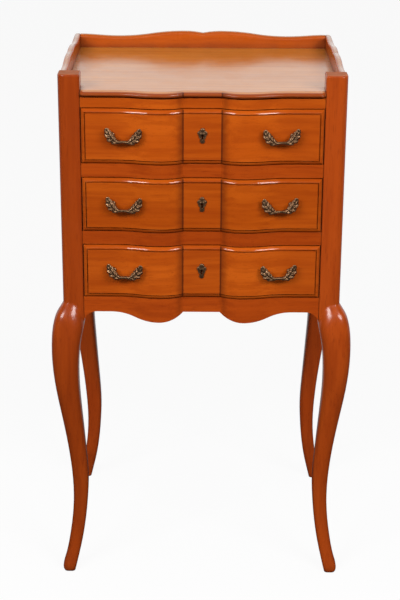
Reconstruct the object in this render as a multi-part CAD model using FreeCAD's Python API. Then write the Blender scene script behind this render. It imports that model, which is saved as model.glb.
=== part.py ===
"""Three-drawer bedside stand on cabriole legs, with a crossbow front and a scalloped gallery.

Millimetres. The stand is worked out with the front of the posts at y = 0, the back towards +y
and the floor at z = 0. On export it is moved so that the origin is under the middle of its box.
"""
import FreeCAD
import Part
import math
import os
from collections import namedtuple
from FreeCAD import Vector

# Case, measured over the four posts
CASE_WIDTH = 390.0
CASE_DEPTH = 312.0
POST_ABOVE_TRAY = 21.5
POST_SIZE = 30.0
POST_OUTER_ROUND = 9.0
POST_INNER_ROUND = 2.2
POST_TOP_ROUND = 2.0

# Heights on the front, from the tray surface downwards
TRAY_SURFACE = 730.0
TOP_THICKNESS = 7.0
FRIEZE_HEIGHT = 16.0
SHADOW_HEIGHT = 2.5
SHADOW_DEPTH = 3.0
OPENING_HEIGHT = 77.5
RAIL_HEIGHT = 19.0
DRAWER_NAMES = ("top", "middle", "bottom")

# Crossbow plan that the top, the rails, the drawers and the apron share
BOW_FLAT = 25.7
BOW_PEAK = 56.0
BOW_DEPTH = 9.0
BOW_RUN_OUT = 45.0
TOP_OVERHANG = 5.5
TOP_END_ROUND = 6.0
NOSING_DEPTH = 12.0
NOSING_RUN = 9.5
NOSING_DROP = 4.0
NOSING_UNDER_RUN = 2.5
NOSING_TURN = 75.0
NOSING_STEPS = 6

# Lower edge of the apron and of the side boards
APRON_HEIGHT = 22.5
APRON_LOBE_PEAK = 60.0
APRON_LOBE_DROP = 13.5
APRON_RUN_OUT = 37.0
EAR_LENGTH = 18.0
EAR_DROP = 12.5
SIDE_LOBE_DROP = 9.0
SIDE_RUN_OUT = 46.0

# Side boards and gallery, with the gallery heights above the tray surface
BOARD_THICKNESS = 9.0
BACK_BOARD_THICKNESS = 12.0
SIDE_INSET = 0.5
BACK_INSET = 4.0
BACK_NOTCH = 22.0
BACK_PEAK = 24.7
BACK_DIP = 17.0
SIDE_NOTCH = 21.6
SIDE_PEAK = 23.4
SIDE_DIP = 18.6
GALLERY_END = 19.5
GALLERY_PEAK_AT = 28.0
BACK_DIP_FROM_SIDE = 58.0
SIDE_DIP_FROM_POST = 36.0
SIDE_ROUND = 3.6
BACK_ROUND = 5.0
GALLERY_CORNER_ROUND = 7.0

# Joints between the posts and what is set into them
TENON_LENGTH = 12.0
TENON_THICKNESS = 10.0
TENON_SETBACK = 10.0
TENON_SHOULDER = 3.0
TONGUE_LENGTH = 8.0
TONGUE_THICKNESS = 5.0

# Back of the case
BACK_PANEL_THICKNESS = 5.0
BACK_PANEL_GROOVE = 6.0
BACK_RAIL_HEIGHT = 35.0
BACK_RAIL_THICKNESS = 16.0

# Runners, kickers, stops and glue blocks
RUNNER_THICKNESS = 12.0
RUNNER_LEDGE = 15.0
GUIDE_HEIGHT = 20.0
STOP_WIDTH = 20.0
STOP_DEPTH = 8.0
STOP_HEIGHT = 5.0
STOP_FROM_POST = 65.0
GLUE_BLOCK_LEG = 12.0
GLUE_BLOCK_LENGTH = 30.0
GLUE_BLOCK_AT = (-110.0, -40.0, 40.0, 110.0)

# Drawers
DRAWER_GAP = 1.0
DRAWER_PROUD = 6.0
MOULDING = 6.0
MOULDING_START = 25.0
MOULDING_CROWN = 90.0
QUIRK = 1.3
QUIRK_WIDTH = 1.5
QUIRK_DEPTH = 2.8
MOULDING_STEPS = 3
FRONT_BACK = 14.0
DRAWER_SIDE_THICKNESS = 10.0
DRAWER_SIDE_TOP_ROOM = 4.0
DRAWER_BACK_THICKNESS = 10.0
DRAWER_BACK_SETBACK = 8.0
DRAWER_BACK_TOP_ROOM = 3.0
DRAWER_BACK_HOUSING = 4.0
DRAWER_END_ROOM = 32.0
BOTTOM_THICKNESS = 4.0
BOTTOM_RAISE = 8.0
BOTTOM_GROOVE = 4.0
TAIL_COUNT = 3
TAIL_LENGTH = 9.0
TAIL_ROOT = 12.0
TAIL_FLARE = 2.0

# Cast pulls and key plates
PULL_FROM_POST = 59.4
PULL_LIFT = 4.0
PLATE_LIFT = 2.2
BOSS_AT = 17.0
BOSS_UP = -1.5
BOSS_RADIUS = 4.0
BAR_RADIUS = 1.9
BAR_REACH = 10.0
BAR_SAG = 1.5
PLATE_THICKNESS = 2.0
KEYHOLE_RADIUS = 1.6
KEYHOLE_SLOT_WIDTH = 1.8
KEYHOLE_SLOT_LENGTH = 5.0
KEYHOLE_DEPTH = 6.0

# Screws
SCREW_RADIUS = 1.8
SCREW_HEAD_RADIUS = 3.6
SCREW_HEAD_HEIGHT = 2.4
SCREW_ROOM = 0.2
SCREW_BITE = 6.0
RUNNER_SCREW_INSET = 40.0

# Cabriole pattern: share of the leg's height, reach beyond the post face, width, outer, side and inner rounds
LEG_PATTERN = (
    (0.000, 7.6, 16.0, 6.0, 5.0, 5.0),
    (0.009, 9.0, 18.4, 7.0, 5.5, 5.5),
    (0.045, 6.2, 19.5, 7.5, 6.0, 6.0),
    (0.114, -0.5, 19.6, 8.0, 6.5, 6.0),
    (0.186, -5.0, 20.0, 8.0, 6.5, 6.0),
    (0.260, -7.1, 21.0, 8.5, 7.0, 6.0),
    (0.330, -6.5, 23.1, 9.5, 7.5, 6.5),
    (0.445, -1.9, 25.4, 11.0, 8.5, 7.0),
    (0.564, 5.4, 29.0, 12.0, 9.5, 7.0),
    (0.677, 12.9, 33.5, 13.0, 10.5, 7.5),
    (0.786, 17.0, 38.1, 14.0, 12.0, 8.0),
    (0.855, 16.7, 41.6, 14.0, 15.0, 8.0),
)
# Knee above the pattern, whose inner faces stay just behind the post's: share of height, reach, rounds
KNEE_PATTERN = (
    (0.909, 13.8, 13.0, 20.0, 6.0),
    (0.945, 8.3, 11.0, 23.0, 4.0),
    (0.970, 1.2, 9.0, 19.0, 2.5),
    (0.995, -2.0, 8.0, 12.0, 2.2),
)
KNEE_SETBACK = 0.6
POST_BELOW_CASE = 37.0
REAR_TUCK = 3.0

# Leaf wing of a pull: its spine from the grip bar to the tip as across and up, and its sizes along it
WING_ROOT = (7.5, -8.2)
WING_MIDDLE = (18.0, -1.0)
WING_TIP = (25.6, 11.0)
WING_OUT = (10.5, 7.0)
WING_HALF_HEIGHT = (3.0, 1.4)
WING_HALF_DEPTH = (2.8, 1.2)
WING_SWELL = (2.6, 1.2)
WING_STEPS = 8
# Key plate outline as overlapping discs: across, up, radius
PLATE_DISCS = (
    (0.0, 0.0, 5.2),
    (0.0, 7.4, 3.4),
    (0.0, -7.6, 3.4),
    (3.4, 3.4, 3.3),
    (-3.4, 3.4, 3.3),
)

# Places that follow from the sizes above
HALF_WIDTH = CASE_WIDTH / 2
MID_DEPTH = CASE_DEPTH / 2
OPENING_HALF = HALF_WIDTH - POST_SIZE
REAR_POST_FRONT = CASE_DEPTH - POST_SIZE
SIDE_HALF = MID_DEPTH - POST_SIZE
POST_TOP = TRAY_SURFACE + POST_ABOVE_TRAY
BOARD_OUTER = HALF_WIDTH - SIDE_INSET
BOARD_INNER = BOARD_OUTER - BOARD_THICKNESS
GALLERY_BACK = CASE_DEPTH - BACK_INSET
GALLERY_FRONT = GALLERY_BACK - BACK_BOARD_THICKNESS
BACK_LINE = (GALLERY_FRONT + GALLERY_BACK) / 2
TOP_UNDERSIDE = TRAY_SURFACE - TOP_THICKNESS
FRIEZE_BOTTOM = TOP_UNDERSIDE - FRIEZE_HEIGHT
OPENING_PITCH = OPENING_HEIGHT + RAIL_HEIGHT
APRON_TOP = FRIEZE_BOTTOM + RAIL_HEIGHT - len(DRAWER_NAMES) * OPENING_PITCH
APRON_FLAT = APRON_TOP - APRON_HEIGHT
GALLERY_CORNER_TOP = TRAY_SURFACE + GALLERY_END
STOP_AT = OPENING_HALF - STOP_FROM_POST
PULL_AT = OPENING_HALF - PULL_FROM_POST
DRAWER_HALF = OPENING_HALF - DRAWER_GAP
FIELD_HALF = DRAWER_HALF - MOULDING
MOULDING_RADIUS = MOULDING / math.cos(math.radians(MOULDING_START))
DRAWER_INNER_HALF = DRAWER_HALF - DRAWER_SIDE_THICKNESS
DRAWER_END = CASE_DEPTH - DRAWER_END_ROOM
DRAWER_SIDE_TOP = OPENING_HEIGHT - DRAWER_SIDE_TOP_ROOM
PULL_LEVEL = OPENING_HEIGHT / 2 + PULL_LIFT
PLATE_LEVEL = OPENING_HEIGHT / 2 + PLATE_LIFT
BOTTOM_TOP = BOTTOM_RAISE + BOTTOM_THICKNESS

Station = namedtuple("Station", "along height level")
OUTWARD = Vector(0, -1, 0)
ALONG_SIDE = Vector(0, 1, 0)
ALONG_BACK = Vector(1, 0, 0)
LEVEL_MARGIN = 0.1


def opening_floor(index):
    """Height of the surface that a drawer runs on, counted from the top drawer."""
    return FRIEZE_BOTTOM - OPENING_HEIGHT - index * OPENING_PITCH


def block(x0, x1, y0, y1, z0, z1):
    """Rectangular block between two corners."""
    return Part.makeBox(x1 - x0, y1 - y0, z1 - z0, Vector(x0, y0, z0))


def rod(radius, start, direction, length):
    """Round rod from a start point along a direction."""
    return Part.makeCylinder(radius, length, start, direction)


def mirror_x(shape):
    """The same piece for the other side of the stand."""
    return shape.mirror(Vector(0, 0, 0), Vector(1, 0, 0))


def mirror_depth(shape):
    """The same piece for the other end of the depth."""
    return shape.mirror(Vector(0, MID_DEPTH, 0), Vector(0, 1, 0))


def both_sides(shape):
    """A piece and its mirror image, as a list."""
    return [shape, mirror_x(shape)]


def joined(first, *others):
    """One solid from touching pieces."""
    return first.fuse(list(others)).removeSplitter()


def prism(edges, run):
    """Solid that a closed chain of edges sweeps along a vector."""
    return Part.Face(Part.Wire(edges)).extrude(run)


def arc_middle(level, other):
    """Middle of the arc that leaves one station level and passes through another."""
    run = other.along - level.along
    rise = other.height - level.height
    radius = (run ** 2 + rise ** 2) / (2 * rise)
    half_turn = math.atan(rise / run)
    return level.along + radius * math.sin(half_turn), level.height + radius * (1 - math.cos(half_turn))


def wave(stations):
    """Lines and arcs through stations, as point tuples; two level stations are joined by an S."""
    pieces = []
    for first, second in zip(stations, stations[1:]):
        if first.height == second.height:
            pieces.append((first[:2], second[:2]))
        elif first.level and second.level:
            along = (first.along + second.along) / 2
            height = (first.height + second.height) / 2
            middle = Station(along, height, False)
            pieces.append((first[:2], arc_middle(first, middle), middle[:2]))
            pieces.append((middle[:2], arc_middle(second, middle), second[:2]))
        elif first.level:
            pieces.append((first[:2], arc_middle(first, second), second[:2]))
        else:
            pieces.append((first[:2], arc_middle(second, first), second[:2]))
    return pieces


def both_ways(pieces):
    """The pieces and their mirror image about along = 0, with a straight bridge where they start."""
    left = [tuple((-along, height) for along, height in reversed(points)) for points in reversed(pieces)]
    start, height = pieces[0][0]
    bridge = [((-start, height), (start, height))] if start else []
    return left + bridge + pieces


def trace(pieces, place):
    """Edges of the pieces, where place turns (along, height) into a point."""
    edges = []
    for points in pieces:
        spots = [place(along, height) for along, height in points]
        curve = Part.LineSegment(*spots) if len(spots) == 2 else Part.Arc(*spots)
        edges.append(curve.toShape())
    return edges


def chain(*spots):
    """Straight edges from point to point."""
    return [Part.LineSegment(a, b).toShape() for a, b in zip(spots, spots[1:])]


def bow_stations(half):
    """Half of the crossbow line, from the edge of its middle flat to a square end."""
    return (
        Station(BOW_FLAT, 0.0, False),
        Station(BOW_PEAK, BOW_DEPTH, True),
        Station(OPENING_HALF - BOW_RUN_OUT, 0.0, True),
        Station(half, 0.0, True),
    )


def bow_line(half, forward, z):
    """Edges of the crossbow line from left to right, pushed forward from the posts."""
    return trace(both_ways(wave(bow_stations(half))), lambda along, out: Vector(along, -out - forward, z))


def bow_outline(half, forward, back, z):
    """Closed edges of a board with a crossbow front, square ends and a straight back."""
    ends = (
        Vector(half, -forward, z),
        Vector(half, back, z),
        Vector(-half, back, z),
        Vector(-half, -forward, z),
    )
    return bow_line(half, forward, z) + chain(*ends)


def bow_out(x):
    """How far the crossbow line stands forward at x, on its outer S."""
    end = OPENING_HALF - BOW_RUN_OUT
    middle = (BOW_PEAK + end) / 2
    rise = BOW_DEPTH / 2
    run = end - middle
    radius = (run ** 2 + rise ** 2) / (2 * rise)
    if x >= end:
        return 0.0
    if x >= middle:
        return radius - math.sqrt(radius ** 2 - (end - x) ** 2)
    return BOW_DEPTH - radius + math.sqrt(radius ** 2 - (x - BOW_PEAK) ** 2)


def corner_arc(centre_x, centre_y, radius, turn, z):
    """Quarter arc about a centre, starting at a turn in degrees and going anticlockwise."""
    spots = []
    for step in (0, 45, 90):
        angle = math.radians(turn + step)
        spots.append(Vector(centre_x + radius * math.cos(angle), centre_y + radius * math.sin(angle), z))
    return Part.Arc(*spots).toShape()


def leg_section(z, reach, width, outer_round, side_round, inner_round, tuck=0.0):
    """Rounded square of the front right leg, with its corner rounds, tucked in towards the middle."""
    right = HALF_WIDTH + reach - tuck
    left = right - width
    front = -reach
    back = front + width
    rounds = (outer_round, side_round, inner_round, side_round)
    signs = ((1, -1), (1, 1), (-1, 1), (-1, -1))
    arcs = []
    for (sign_x, sign_y), radius, turn in zip(signs, rounds, (-90, 0, 90, 180)):
        centre_x = right - radius if sign_x > 0 else left + radius
        centre_y = back - radius if sign_y > 0 else front + radius
        arcs.append(corner_arc(centre_x, centre_y, radius, turn, z))
    edges = []
    for arc, following in zip(arcs, arcs[1:] + arcs[:1]):
        edges.append(arc)
        edges.extend(chain(arc.Vertexes[-1].Point, following.Vertexes[0].Point))
    return Part.Wire(edges)


def cabriole(foot_tuck):
    """Curved leg under the front right post, up to its knee, with its foot tucked in sideways."""
    sections = []
    for share, *sizes in LEG_PATTERN:
        sections.append(leg_section(share * APRON_TOP, *sizes, foot_tuck * (1 - share)))
    for share, reach, *rounds in KNEE_PATTERN:
        width = POST_SIZE + reach - KNEE_SETBACK
        sections.append(leg_section(share * APRON_TOP, reach, width, *rounds))
    return Part.makeLoft(sections, True, False)


def post(top):
    """Square post above the front right leg, with a sharp top."""
    foot = APRON_TOP - POST_BELOW_CASE
    section = leg_section(foot, 0.0, POST_SIZE, POST_OUTER_ROUND, POST_INNER_ROUND, POST_INNER_ROUND)
    return Part.Face(section).extrude(Vector(0, 0, top - foot))


def top_edges(shape, level):
    """Edges of a shape that lie in the level plane of its top."""
    return [edge for edge in shape.Edges if min(vertex.Z for vertex in edge.Vertexes) > level - LEVEL_MARGIN]


def front_leg_blank():
    """Front right post and cabriole leg in one piece, with the post's top edges rounded over."""
    upper = post(POST_TOP)
    return upper.makeFillet(POST_TOP_ROUND, top_edges(upper, POST_TOP)).fuse(cabriole(0.0))


def rear_leg_blank():
    """Rear right post, which ends under the tray, and its leg in one piece."""
    return mirror_depth(post(TOP_UNDERSIDE).fuse(cabriole(REAR_TUCK)))


def front_tenon(z0, z1):
    """Right tenon of a front rail."""
    return block(
        OPENING_HALF, OPENING_HALF + TENON_LENGTH,
        TENON_SETBACK, TENON_SETBACK + TENON_THICKNESS,
        z0 + TENON_SHOULDER, z1 - TENON_SHOULDER,
    )


def front_rail(z0, z1):
    """Rail between the front posts, with the crossbow face."""
    body = prism(bow_outline(OPENING_HALF, 0.0, POST_SIZE, z0), Vector(0, 0, z1 - z0))
    return joined(body, *both_sides(front_tenon(z0, z1)))


def frieze_rail():
    """Rail under the top, whose upper edge is set back as a shadow line under the nosing."""
    step = TOP_UNDERSIDE - SHADOW_HEIGHT
    face = prism(bow_outline(OPENING_HALF, 0.0, POST_SIZE, FRIEZE_BOTTOM), Vector(0, 0, step - FRIEZE_BOTTOM))
    recess = prism(bow_outline(OPENING_HALF, -SHADOW_DEPTH, POST_SIZE, step), Vector(0, 0, SHADOW_HEIGHT))
    return joined(face, recess, *both_sides(front_tenon(FRIEZE_BOTTOM, TOP_UNDERSIDE)))


def front_apron():
    """Bottom rail, whose lower edge hangs in two lobes and ends in an ear at each post."""
    lower = APRON_FLAT - APRON_LOBE_DROP
    stations = (
        Station(BOW_FLAT, APRON_FLAT, False),
        Station(APRON_LOBE_PEAK, lower, True),
        Station(OPENING_HALF - APRON_RUN_OUT, APRON_FLAT, True),
        Station(OPENING_HALF - EAR_LENGTH, APRON_FLAT, True),
        Station(OPENING_HALF, APRON_FLAT - EAR_DROP, False),
    )
    front = -BOW_DEPTH - DRAWER_PROUD
    edge = trace(both_ways(wave(stations)), lambda along, height: Vector(along, front, height))
    ends = (
        Vector(OPENING_HALF, front, APRON_FLAT - EAR_DROP),
        Vector(OPENING_HALF, front, APRON_TOP),
        Vector(-OPENING_HALF, front, APRON_TOP),
        Vector(-OPENING_HALF, front, APRON_FLAT - EAR_DROP),
    )
    pattern = prism(edge + chain(*ends), Vector(0, POST_SIZE - front, 0))
    body = prism(bow_outline(OPENING_HALF, 0.0, POST_SIZE, lower), Vector(0, 0, APRON_TOP - lower))
    return joined(body.common(pattern), *both_sides(front_tenon(APRON_FLAT, APRON_TOP)))


def gallery_stations(half, dip_from_end, notch, peak, dip):
    """Half of a gallery's top line, from its middle notch to a level end."""
    return (
        Station(0.0, TRAY_SURFACE + notch, False),
        Station(GALLERY_PEAK_AT, TRAY_SURFACE + peak, True),
        Station(half - dip_from_end, TRAY_SURFACE + dip, True),
        Station(half, GALLERY_CORNER_TOP, True),
    )


def round_top(board, lengthwise, radius):
    """Round over the edges of a board's scalloped top that run lengthwise."""
    top = []
    for edge in board.Edges:
        spots = [vertex.Point for vertex in edge.Vertexes]
        run = abs((spots[-1] - spots[0]).dot(lengthwise))
        if run > LEVEL_MARGIN and min(spot.z for spot in spots) > TRAY_SURFACE:
            top.append(edge)
    return board.makeFillet(radius, top)


def gallery_corner():
    """Rear end of the right side board, which runs on over the rear post with a rounded corner."""
    body = block(
        BOARD_INNER, BOARD_OUTER,
        REAR_POST_FRONT, GALLERY_BACK,
        TOP_UNDERSIDE, GALLERY_CORNER_TOP,
    )
    corner = []
    for edge in body.Edges:
        if all(vertex.X == BOARD_OUTER and vertex.Y == GALLERY_BACK for vertex in edge.Vertexes):
            corner.append(edge)
    body = body.makeFillet(GALLERY_CORNER_ROUND, corner)
    rim = [edge for edge in top_edges(body, GALLERY_CORNER_TOP) if edge.BoundBox.YMax > REAR_POST_FRONT]
    return body.makeFillet(SIDE_ROUND, rim)


def side_tongue():
    """Tongue of the right side board in the front post."""
    middle = (BOARD_INNER + BOARD_OUTER) / 2
    return block(
        middle - TONGUE_THICKNESS / 2, middle + TONGUE_THICKNESS / 2,
        POST_SIZE - TONGUE_LENGTH, POST_SIZE,
        APRON_FLAT, TOP_UNDERSIDE - TENON_SHOULDER,
    )


def side_board():
    """Right side: one board from the scalloped lower edge to the gallery, tongued into the posts."""
    ear = APRON_FLAT - EAR_DROP
    lower = (
        Station(0.0, APRON_FLAT - SIDE_LOBE_DROP, True),
        Station(SIDE_HALF - SIDE_RUN_OUT, APRON_FLAT, True),
        Station(SIDE_HALF - EAR_LENGTH, APRON_FLAT, True),
        Station(SIDE_HALF, ear, False),
    )

    def place(along, height):
        return Vector(BOARD_INNER, MID_DEPTH - along, height)

    upper = gallery_stations(SIDE_HALF, SIDE_DIP_FROM_POST, SIDE_NOTCH, SIDE_PEAK, SIDE_DIP)
    edges = trace(wave(upper), place)
    edges += chain(place(SIDE_HALF, GALLERY_CORNER_TOP), place(SIDE_HALF, ear))
    edges += reversed(trace(wave(lower), place))
    edges += chain(place(0.0, lower[0].height), place(0.0, upper[0].height))
    board = prism(edges, Vector(BOARD_THICKNESS, 0, 0))
    half = joined(round_top(board, ALONG_SIDE, SIDE_ROUND), side_tongue())
    return joined(half, mirror_depth(half), gallery_corner())


def gallery_tongue():
    """Tongue of the back gallery in the rear right post."""
    return block(
        OPENING_HALF, OPENING_HALF + TONGUE_LENGTH,
        BACK_LINE - TONGUE_THICKNESS / 2, BACK_LINE + TONGUE_THICKNESS / 2,
        FRIEZE_BOTTOM, TOP_UNDERSIDE - TENON_SHOULDER,
    )


def back_gallery():
    """Gallery board between the sides, notched over the rear posts, which also carries the top's rear."""
    def place(along, height):
        return Vector(along, GALLERY_FRONT, height)

    upper = gallery_stations(BOARD_INNER, BACK_DIP_FROM_SIDE, BACK_NOTCH, BACK_PEAK, BACK_DIP)
    edges = trace(wave(upper), place)
    edges += chain(
        place(BOARD_INNER, GALLERY_CORNER_TOP),
        place(BOARD_INNER, TOP_UNDERSIDE),
        place(OPENING_HALF, TOP_UNDERSIDE),
        place(OPENING_HALF, FRIEZE_BOTTOM),
        place(0.0, FRIEZE_BOTTOM),
        place(0.0, upper[0].height),
    )
    board = prism(edges, Vector(0, BACK_BOARD_THICKNESS, 0))
    half = joined(round_top(board, ALONG_BACK, BACK_ROUND), gallery_tongue())
    return joined(half, mirror_x(half)).cut(back_panel())


def back_panel():
    """Thin panel that closes the back, held in grooves all round."""
    return block(
        -OPENING_HALF - BACK_PANEL_GROOVE, OPENING_HALF + BACK_PANEL_GROOVE,
        BACK_LINE - BACK_PANEL_THICKNESS / 2, BACK_LINE + BACK_PANEL_THICKNESS / 2,
        APRON_TOP - BACK_PANEL_GROOVE, FRIEZE_BOTTOM + BACK_PANEL_GROOVE,
    )


def back_rail():
    """Lower rail between the rear posts."""
    bottom = APRON_TOP - BACK_RAIL_HEIGHT
    front = BACK_LINE - BACK_RAIL_THICKNESS / 2
    back = BACK_LINE + BACK_RAIL_THICKNESS / 2
    body = block(-OPENING_HALF, OPENING_HALF, front, back, bottom, APRON_TOP)
    tenon = block(
        OPENING_HALF, OPENING_HALF + TENON_LENGTH,
        BACK_LINE - TENON_THICKNESS / 2, BACK_LINE + TENON_THICKNESS / 2,
        bottom + TENON_SHOULDER, APRON_TOP - BACK_PANEL_GROOVE - TENON_SHOULDER,
    )
    return joined(body, *both_sides(tenon)).cut(back_panel())


def nosing_point(step):
    """Place on the nosing: forward of the posts, and height, at one step from its underside to the tray."""
    full = math.radians(NOSING_TURN)
    angle = full * (2 * step / NOSING_STEPS - 1)
    if angle > 0:
        run, rise = NOSING_RUN, NOSING_DROP
    else:
        run, rise = NOSING_UNDER_RUN, TOP_THICKNESS - NOSING_DROP
    forward = TOP_OVERHANG - run * (1 - math.cos(angle)) / (1 - math.cos(full))
    return forward, TRAY_SURFACE - NOSING_DROP + rise * math.sin(angle) / math.sin(full)


def top_section(step):
    """Outline of the top's front strip at one step round its nosing."""
    forward, z = nosing_point(step)
    straight = OPENING_HALF - TOP_END_ROUND
    edges = bow_line(straight, forward, z)
    edges.append(corner_arc(straight, TOP_END_ROUND - forward, TOP_END_ROUND, -90, z))
    corner = Vector(OPENING_HALF, TOP_END_ROUND - forward, z)
    back = Vector(OPENING_HALF, NOSING_DEPTH, z)
    edges += chain(corner, back, Vector(-back.x, back.y, z), Vector(-corner.x, corner.y, z))
    edges.append(corner_arc(-straight, TOP_END_ROUND - forward, TOP_END_ROUND, -180, z))
    return Part.Wire(edges)


def top_board():
    """Tray top: nosed crossbow front, notched round the front posts, butted to the gallery."""
    nosing = Part.makeLoft([top_section(step) for step in range(NOSING_STEPS + 1)], True, False)
    neck = block(-OPENING_HALF, OPENING_HALF, NOSING_DEPTH, POST_SIZE, TOP_UNDERSIDE, TRAY_SURFACE)
    tray = block(-BOARD_INNER, BOARD_INNER, POST_SIZE, GALLERY_FRONT, TOP_UNDERSIDE, TRAY_SURFACE)
    return joined(nosing, neck, tray)


def runner_screw(y, z, room=0.0):
    """Screw from a guide into the side board; room widens it into its hole."""
    along = Vector(1, 0, 0)
    start = Vector(OPENING_HALF, y, z)
    head = rod(SCREW_HEAD_RADIUS + room, start, along, SCREW_HEAD_HEIGHT)
    shank = rod(SCREW_RADIUS + room, start, along, BOARD_INNER + SCREW_BITE - OPENING_HALF)
    return head.fuse(shank).removeSplitter()


def runner_screw_places():
    """Places along the depth and above the runner where a guide is screwed on."""
    height = RUNNER_THICKNESS / 2
    return [(POST_SIZE + RUNNER_SCREW_INSET, height), (REAR_POST_FRONT - RUNNER_SCREW_INSET, height)]


def runner():
    """Right drawer runner with its guide, under a drawer whose floor is at z = 0."""
    ledge = OPENING_HALF - RUNNER_LEDGE
    spots = (
        Vector(ledge, POST_SIZE, -RUNNER_THICKNESS),
        Vector(BOARD_INNER, POST_SIZE, -RUNNER_THICKNESS),
        Vector(BOARD_INNER, POST_SIZE, GUIDE_HEIGHT),
        Vector(OPENING_HALF, POST_SIZE, GUIDE_HEIGHT),
        Vector(OPENING_HALF, POST_SIZE, 0.0),
        Vector(ledge, POST_SIZE, 0.0),
        Vector(ledge, POST_SIZE, -RUNNER_THICKNESS),
    )
    body = prism(chain(*spots), Vector(0, REAR_POST_FRONT - POST_SIZE, 0))
    return body.cut([runner_screw(y, z, SCREW_ROOM) for y, z in runner_screw_places()])


def kicker():
    """Right strip under the top that keeps the top drawer from tipping."""
    ledge = OPENING_HALF - RUNNER_LEDGE
    return block(ledge, BOARD_INNER, POST_SIZE, REAR_POST_FRONT, FRIEZE_BOTTOM, TOP_UNDERSIDE)


def glue_block(x):
    """Three-cornered block between the top and the frieze rail."""
    start = x - GLUE_BLOCK_LENGTH / 2
    spots = (
        Vector(start, POST_SIZE, TOP_UNDERSIDE),
        Vector(start, POST_SIZE + GLUE_BLOCK_LEG, TOP_UNDERSIDE),
        Vector(start, POST_SIZE, TOP_UNDERSIDE - GLUE_BLOCK_LEG),
        Vector(start, POST_SIZE, TOP_UNDERSIDE),
    )
    return prism(chain(*spots), Vector(GLUE_BLOCK_LENGTH, 0, 0))


def drawer_stop(floor):
    """Right stop on a rail, which meets the back of a drawer front."""
    return block(
        STOP_AT - STOP_WIDTH / 2, STOP_AT + STOP_WIDTH / 2,
        FRONT_BACK, FRONT_BACK + STOP_DEPTH,
        floor, floor + STOP_HEIGHT,
    )


def tail(index):
    """One dovetail of the right drawer side, counted from below."""
    pitch = DRAWER_SIDE_TOP / TAIL_COUNT
    middle = (index + 0.5) * pitch
    root = TAIL_ROOT / 2
    spots = (
        Vector(DRAWER_INNER_HALF, FRONT_BACK, middle - root),
        Vector(DRAWER_INNER_HALF, FRONT_BACK, middle + root),
        Vector(DRAWER_INNER_HALF, FRONT_BACK - TAIL_LENGTH, middle + root + TAIL_FLARE),
        Vector(DRAWER_INNER_HALF, FRONT_BACK - TAIL_LENGTH, middle - root - TAIL_FLARE),
        Vector(DRAWER_INNER_HALF, FRONT_BACK, middle - root),
    )
    return prism(chain(*spots), Vector(DRAWER_SIDE_THICKNESS, 0, 0))


def drawer_side():
    """Right side of a drawer, with dovetails at its front end."""
    board = block(DRAWER_INNER_HALF, DRAWER_HALF, FRONT_BACK, DRAWER_END, 0.0, DRAWER_SIDE_TOP)
    tails = [tail(index) for index in range(TAIL_COUNT)]
    return joined(board, *tails).cut([drawer_bottom(), drawer_back()])


def drawer_back():
    """Back of a drawer, housed in the sides above the bottom."""
    half = DRAWER_INNER_HALF + DRAWER_BACK_HOUSING
    end = DRAWER_END - DRAWER_BACK_SETBACK
    top = DRAWER_SIDE_TOP - DRAWER_BACK_TOP_ROOM
    return block(-half, half, end - DRAWER_BACK_THICKNESS, end, BOTTOM_TOP, top)


def drawer_bottom():
    """Bottom of a drawer, slid into grooves from behind."""
    half = DRAWER_INNER_HALF + BOTTOM_GROOVE
    return block(-half, half, FRONT_BACK - BOTTOM_GROOVE, DRAWER_END, BOTTOM_RAISE, BOTTOM_TOP)


def moulding_point(turn):
    """Place on the drawer front's moulding: in from its edge, and forward of the posts."""
    angle = math.radians(turn)
    inward = MOULDING - MOULDING_RADIUS * math.cos(angle)
    forward = DRAWER_PROUD - QUIRK - MOULDING_RADIUS * (1 - math.sin(angle))
    return inward, forward


def moulding_turns():
    """Turns along the moulding in degrees, from a drawer front's edge to its crown."""
    span = MOULDING_CROWN - MOULDING_START
    return [MOULDING_START + span * step / MOULDING_STEPS for step in range(MOULDING_STEPS + 1)]


def ovolo(z_edge, upwards):
    """Strip of the moulding along the lower (or upper) edge of a drawer front, wider than the front."""
    sections = []
    for turn in moulding_turns():
        inward, forward = moulding_point(turn)
        sections.append(Part.Wire(bow_outline(OPENING_HALF, forward, POST_SIZE, z_edge + upwards * inward)))
    return Part.makeLoft(sections, True, False)


def moulded_end(side, z):
    """Moulding at one end of a drawer front, in plan."""
    spots = []
    for turn in (MOULDING_START, (MOULDING_START + MOULDING_CROWN) / 2, MOULDING_CROWN):
        inward, forward = moulding_point(turn)
        spots.append(Vector(side * (DRAWER_HALF - inward), -forward, z))
    return Part.Arc(*spots).toShape()


def moulded_plan(z):
    """Plan of a drawer front whose ends carry the moulding and its quirk."""
    _, edge = moulding_point(MOULDING_START)
    edges = bow_line(FIELD_HALF, DRAWER_PROUD, z)
    edges += chain(Vector(FIELD_HALF, -DRAWER_PROUD, z), Vector(FIELD_HALF, QUIRK - DRAWER_PROUD, z))
    edges.append(moulded_end(1, z))
    edges += chain(
        Vector(DRAWER_HALF, -edge, z),
        Vector(DRAWER_HALF, FRONT_BACK, z),
        Vector(-DRAWER_HALF, FRONT_BACK, z),
        Vector(-DRAWER_HALF, -edge, z),
    )
    edges.append(moulded_end(-1, z))
    edges += chain(Vector(-FIELD_HALF, QUIRK - DRAWER_PROUD, z), Vector(-FIELD_HALF, -DRAWER_PROUD, z))
    return edges


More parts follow.
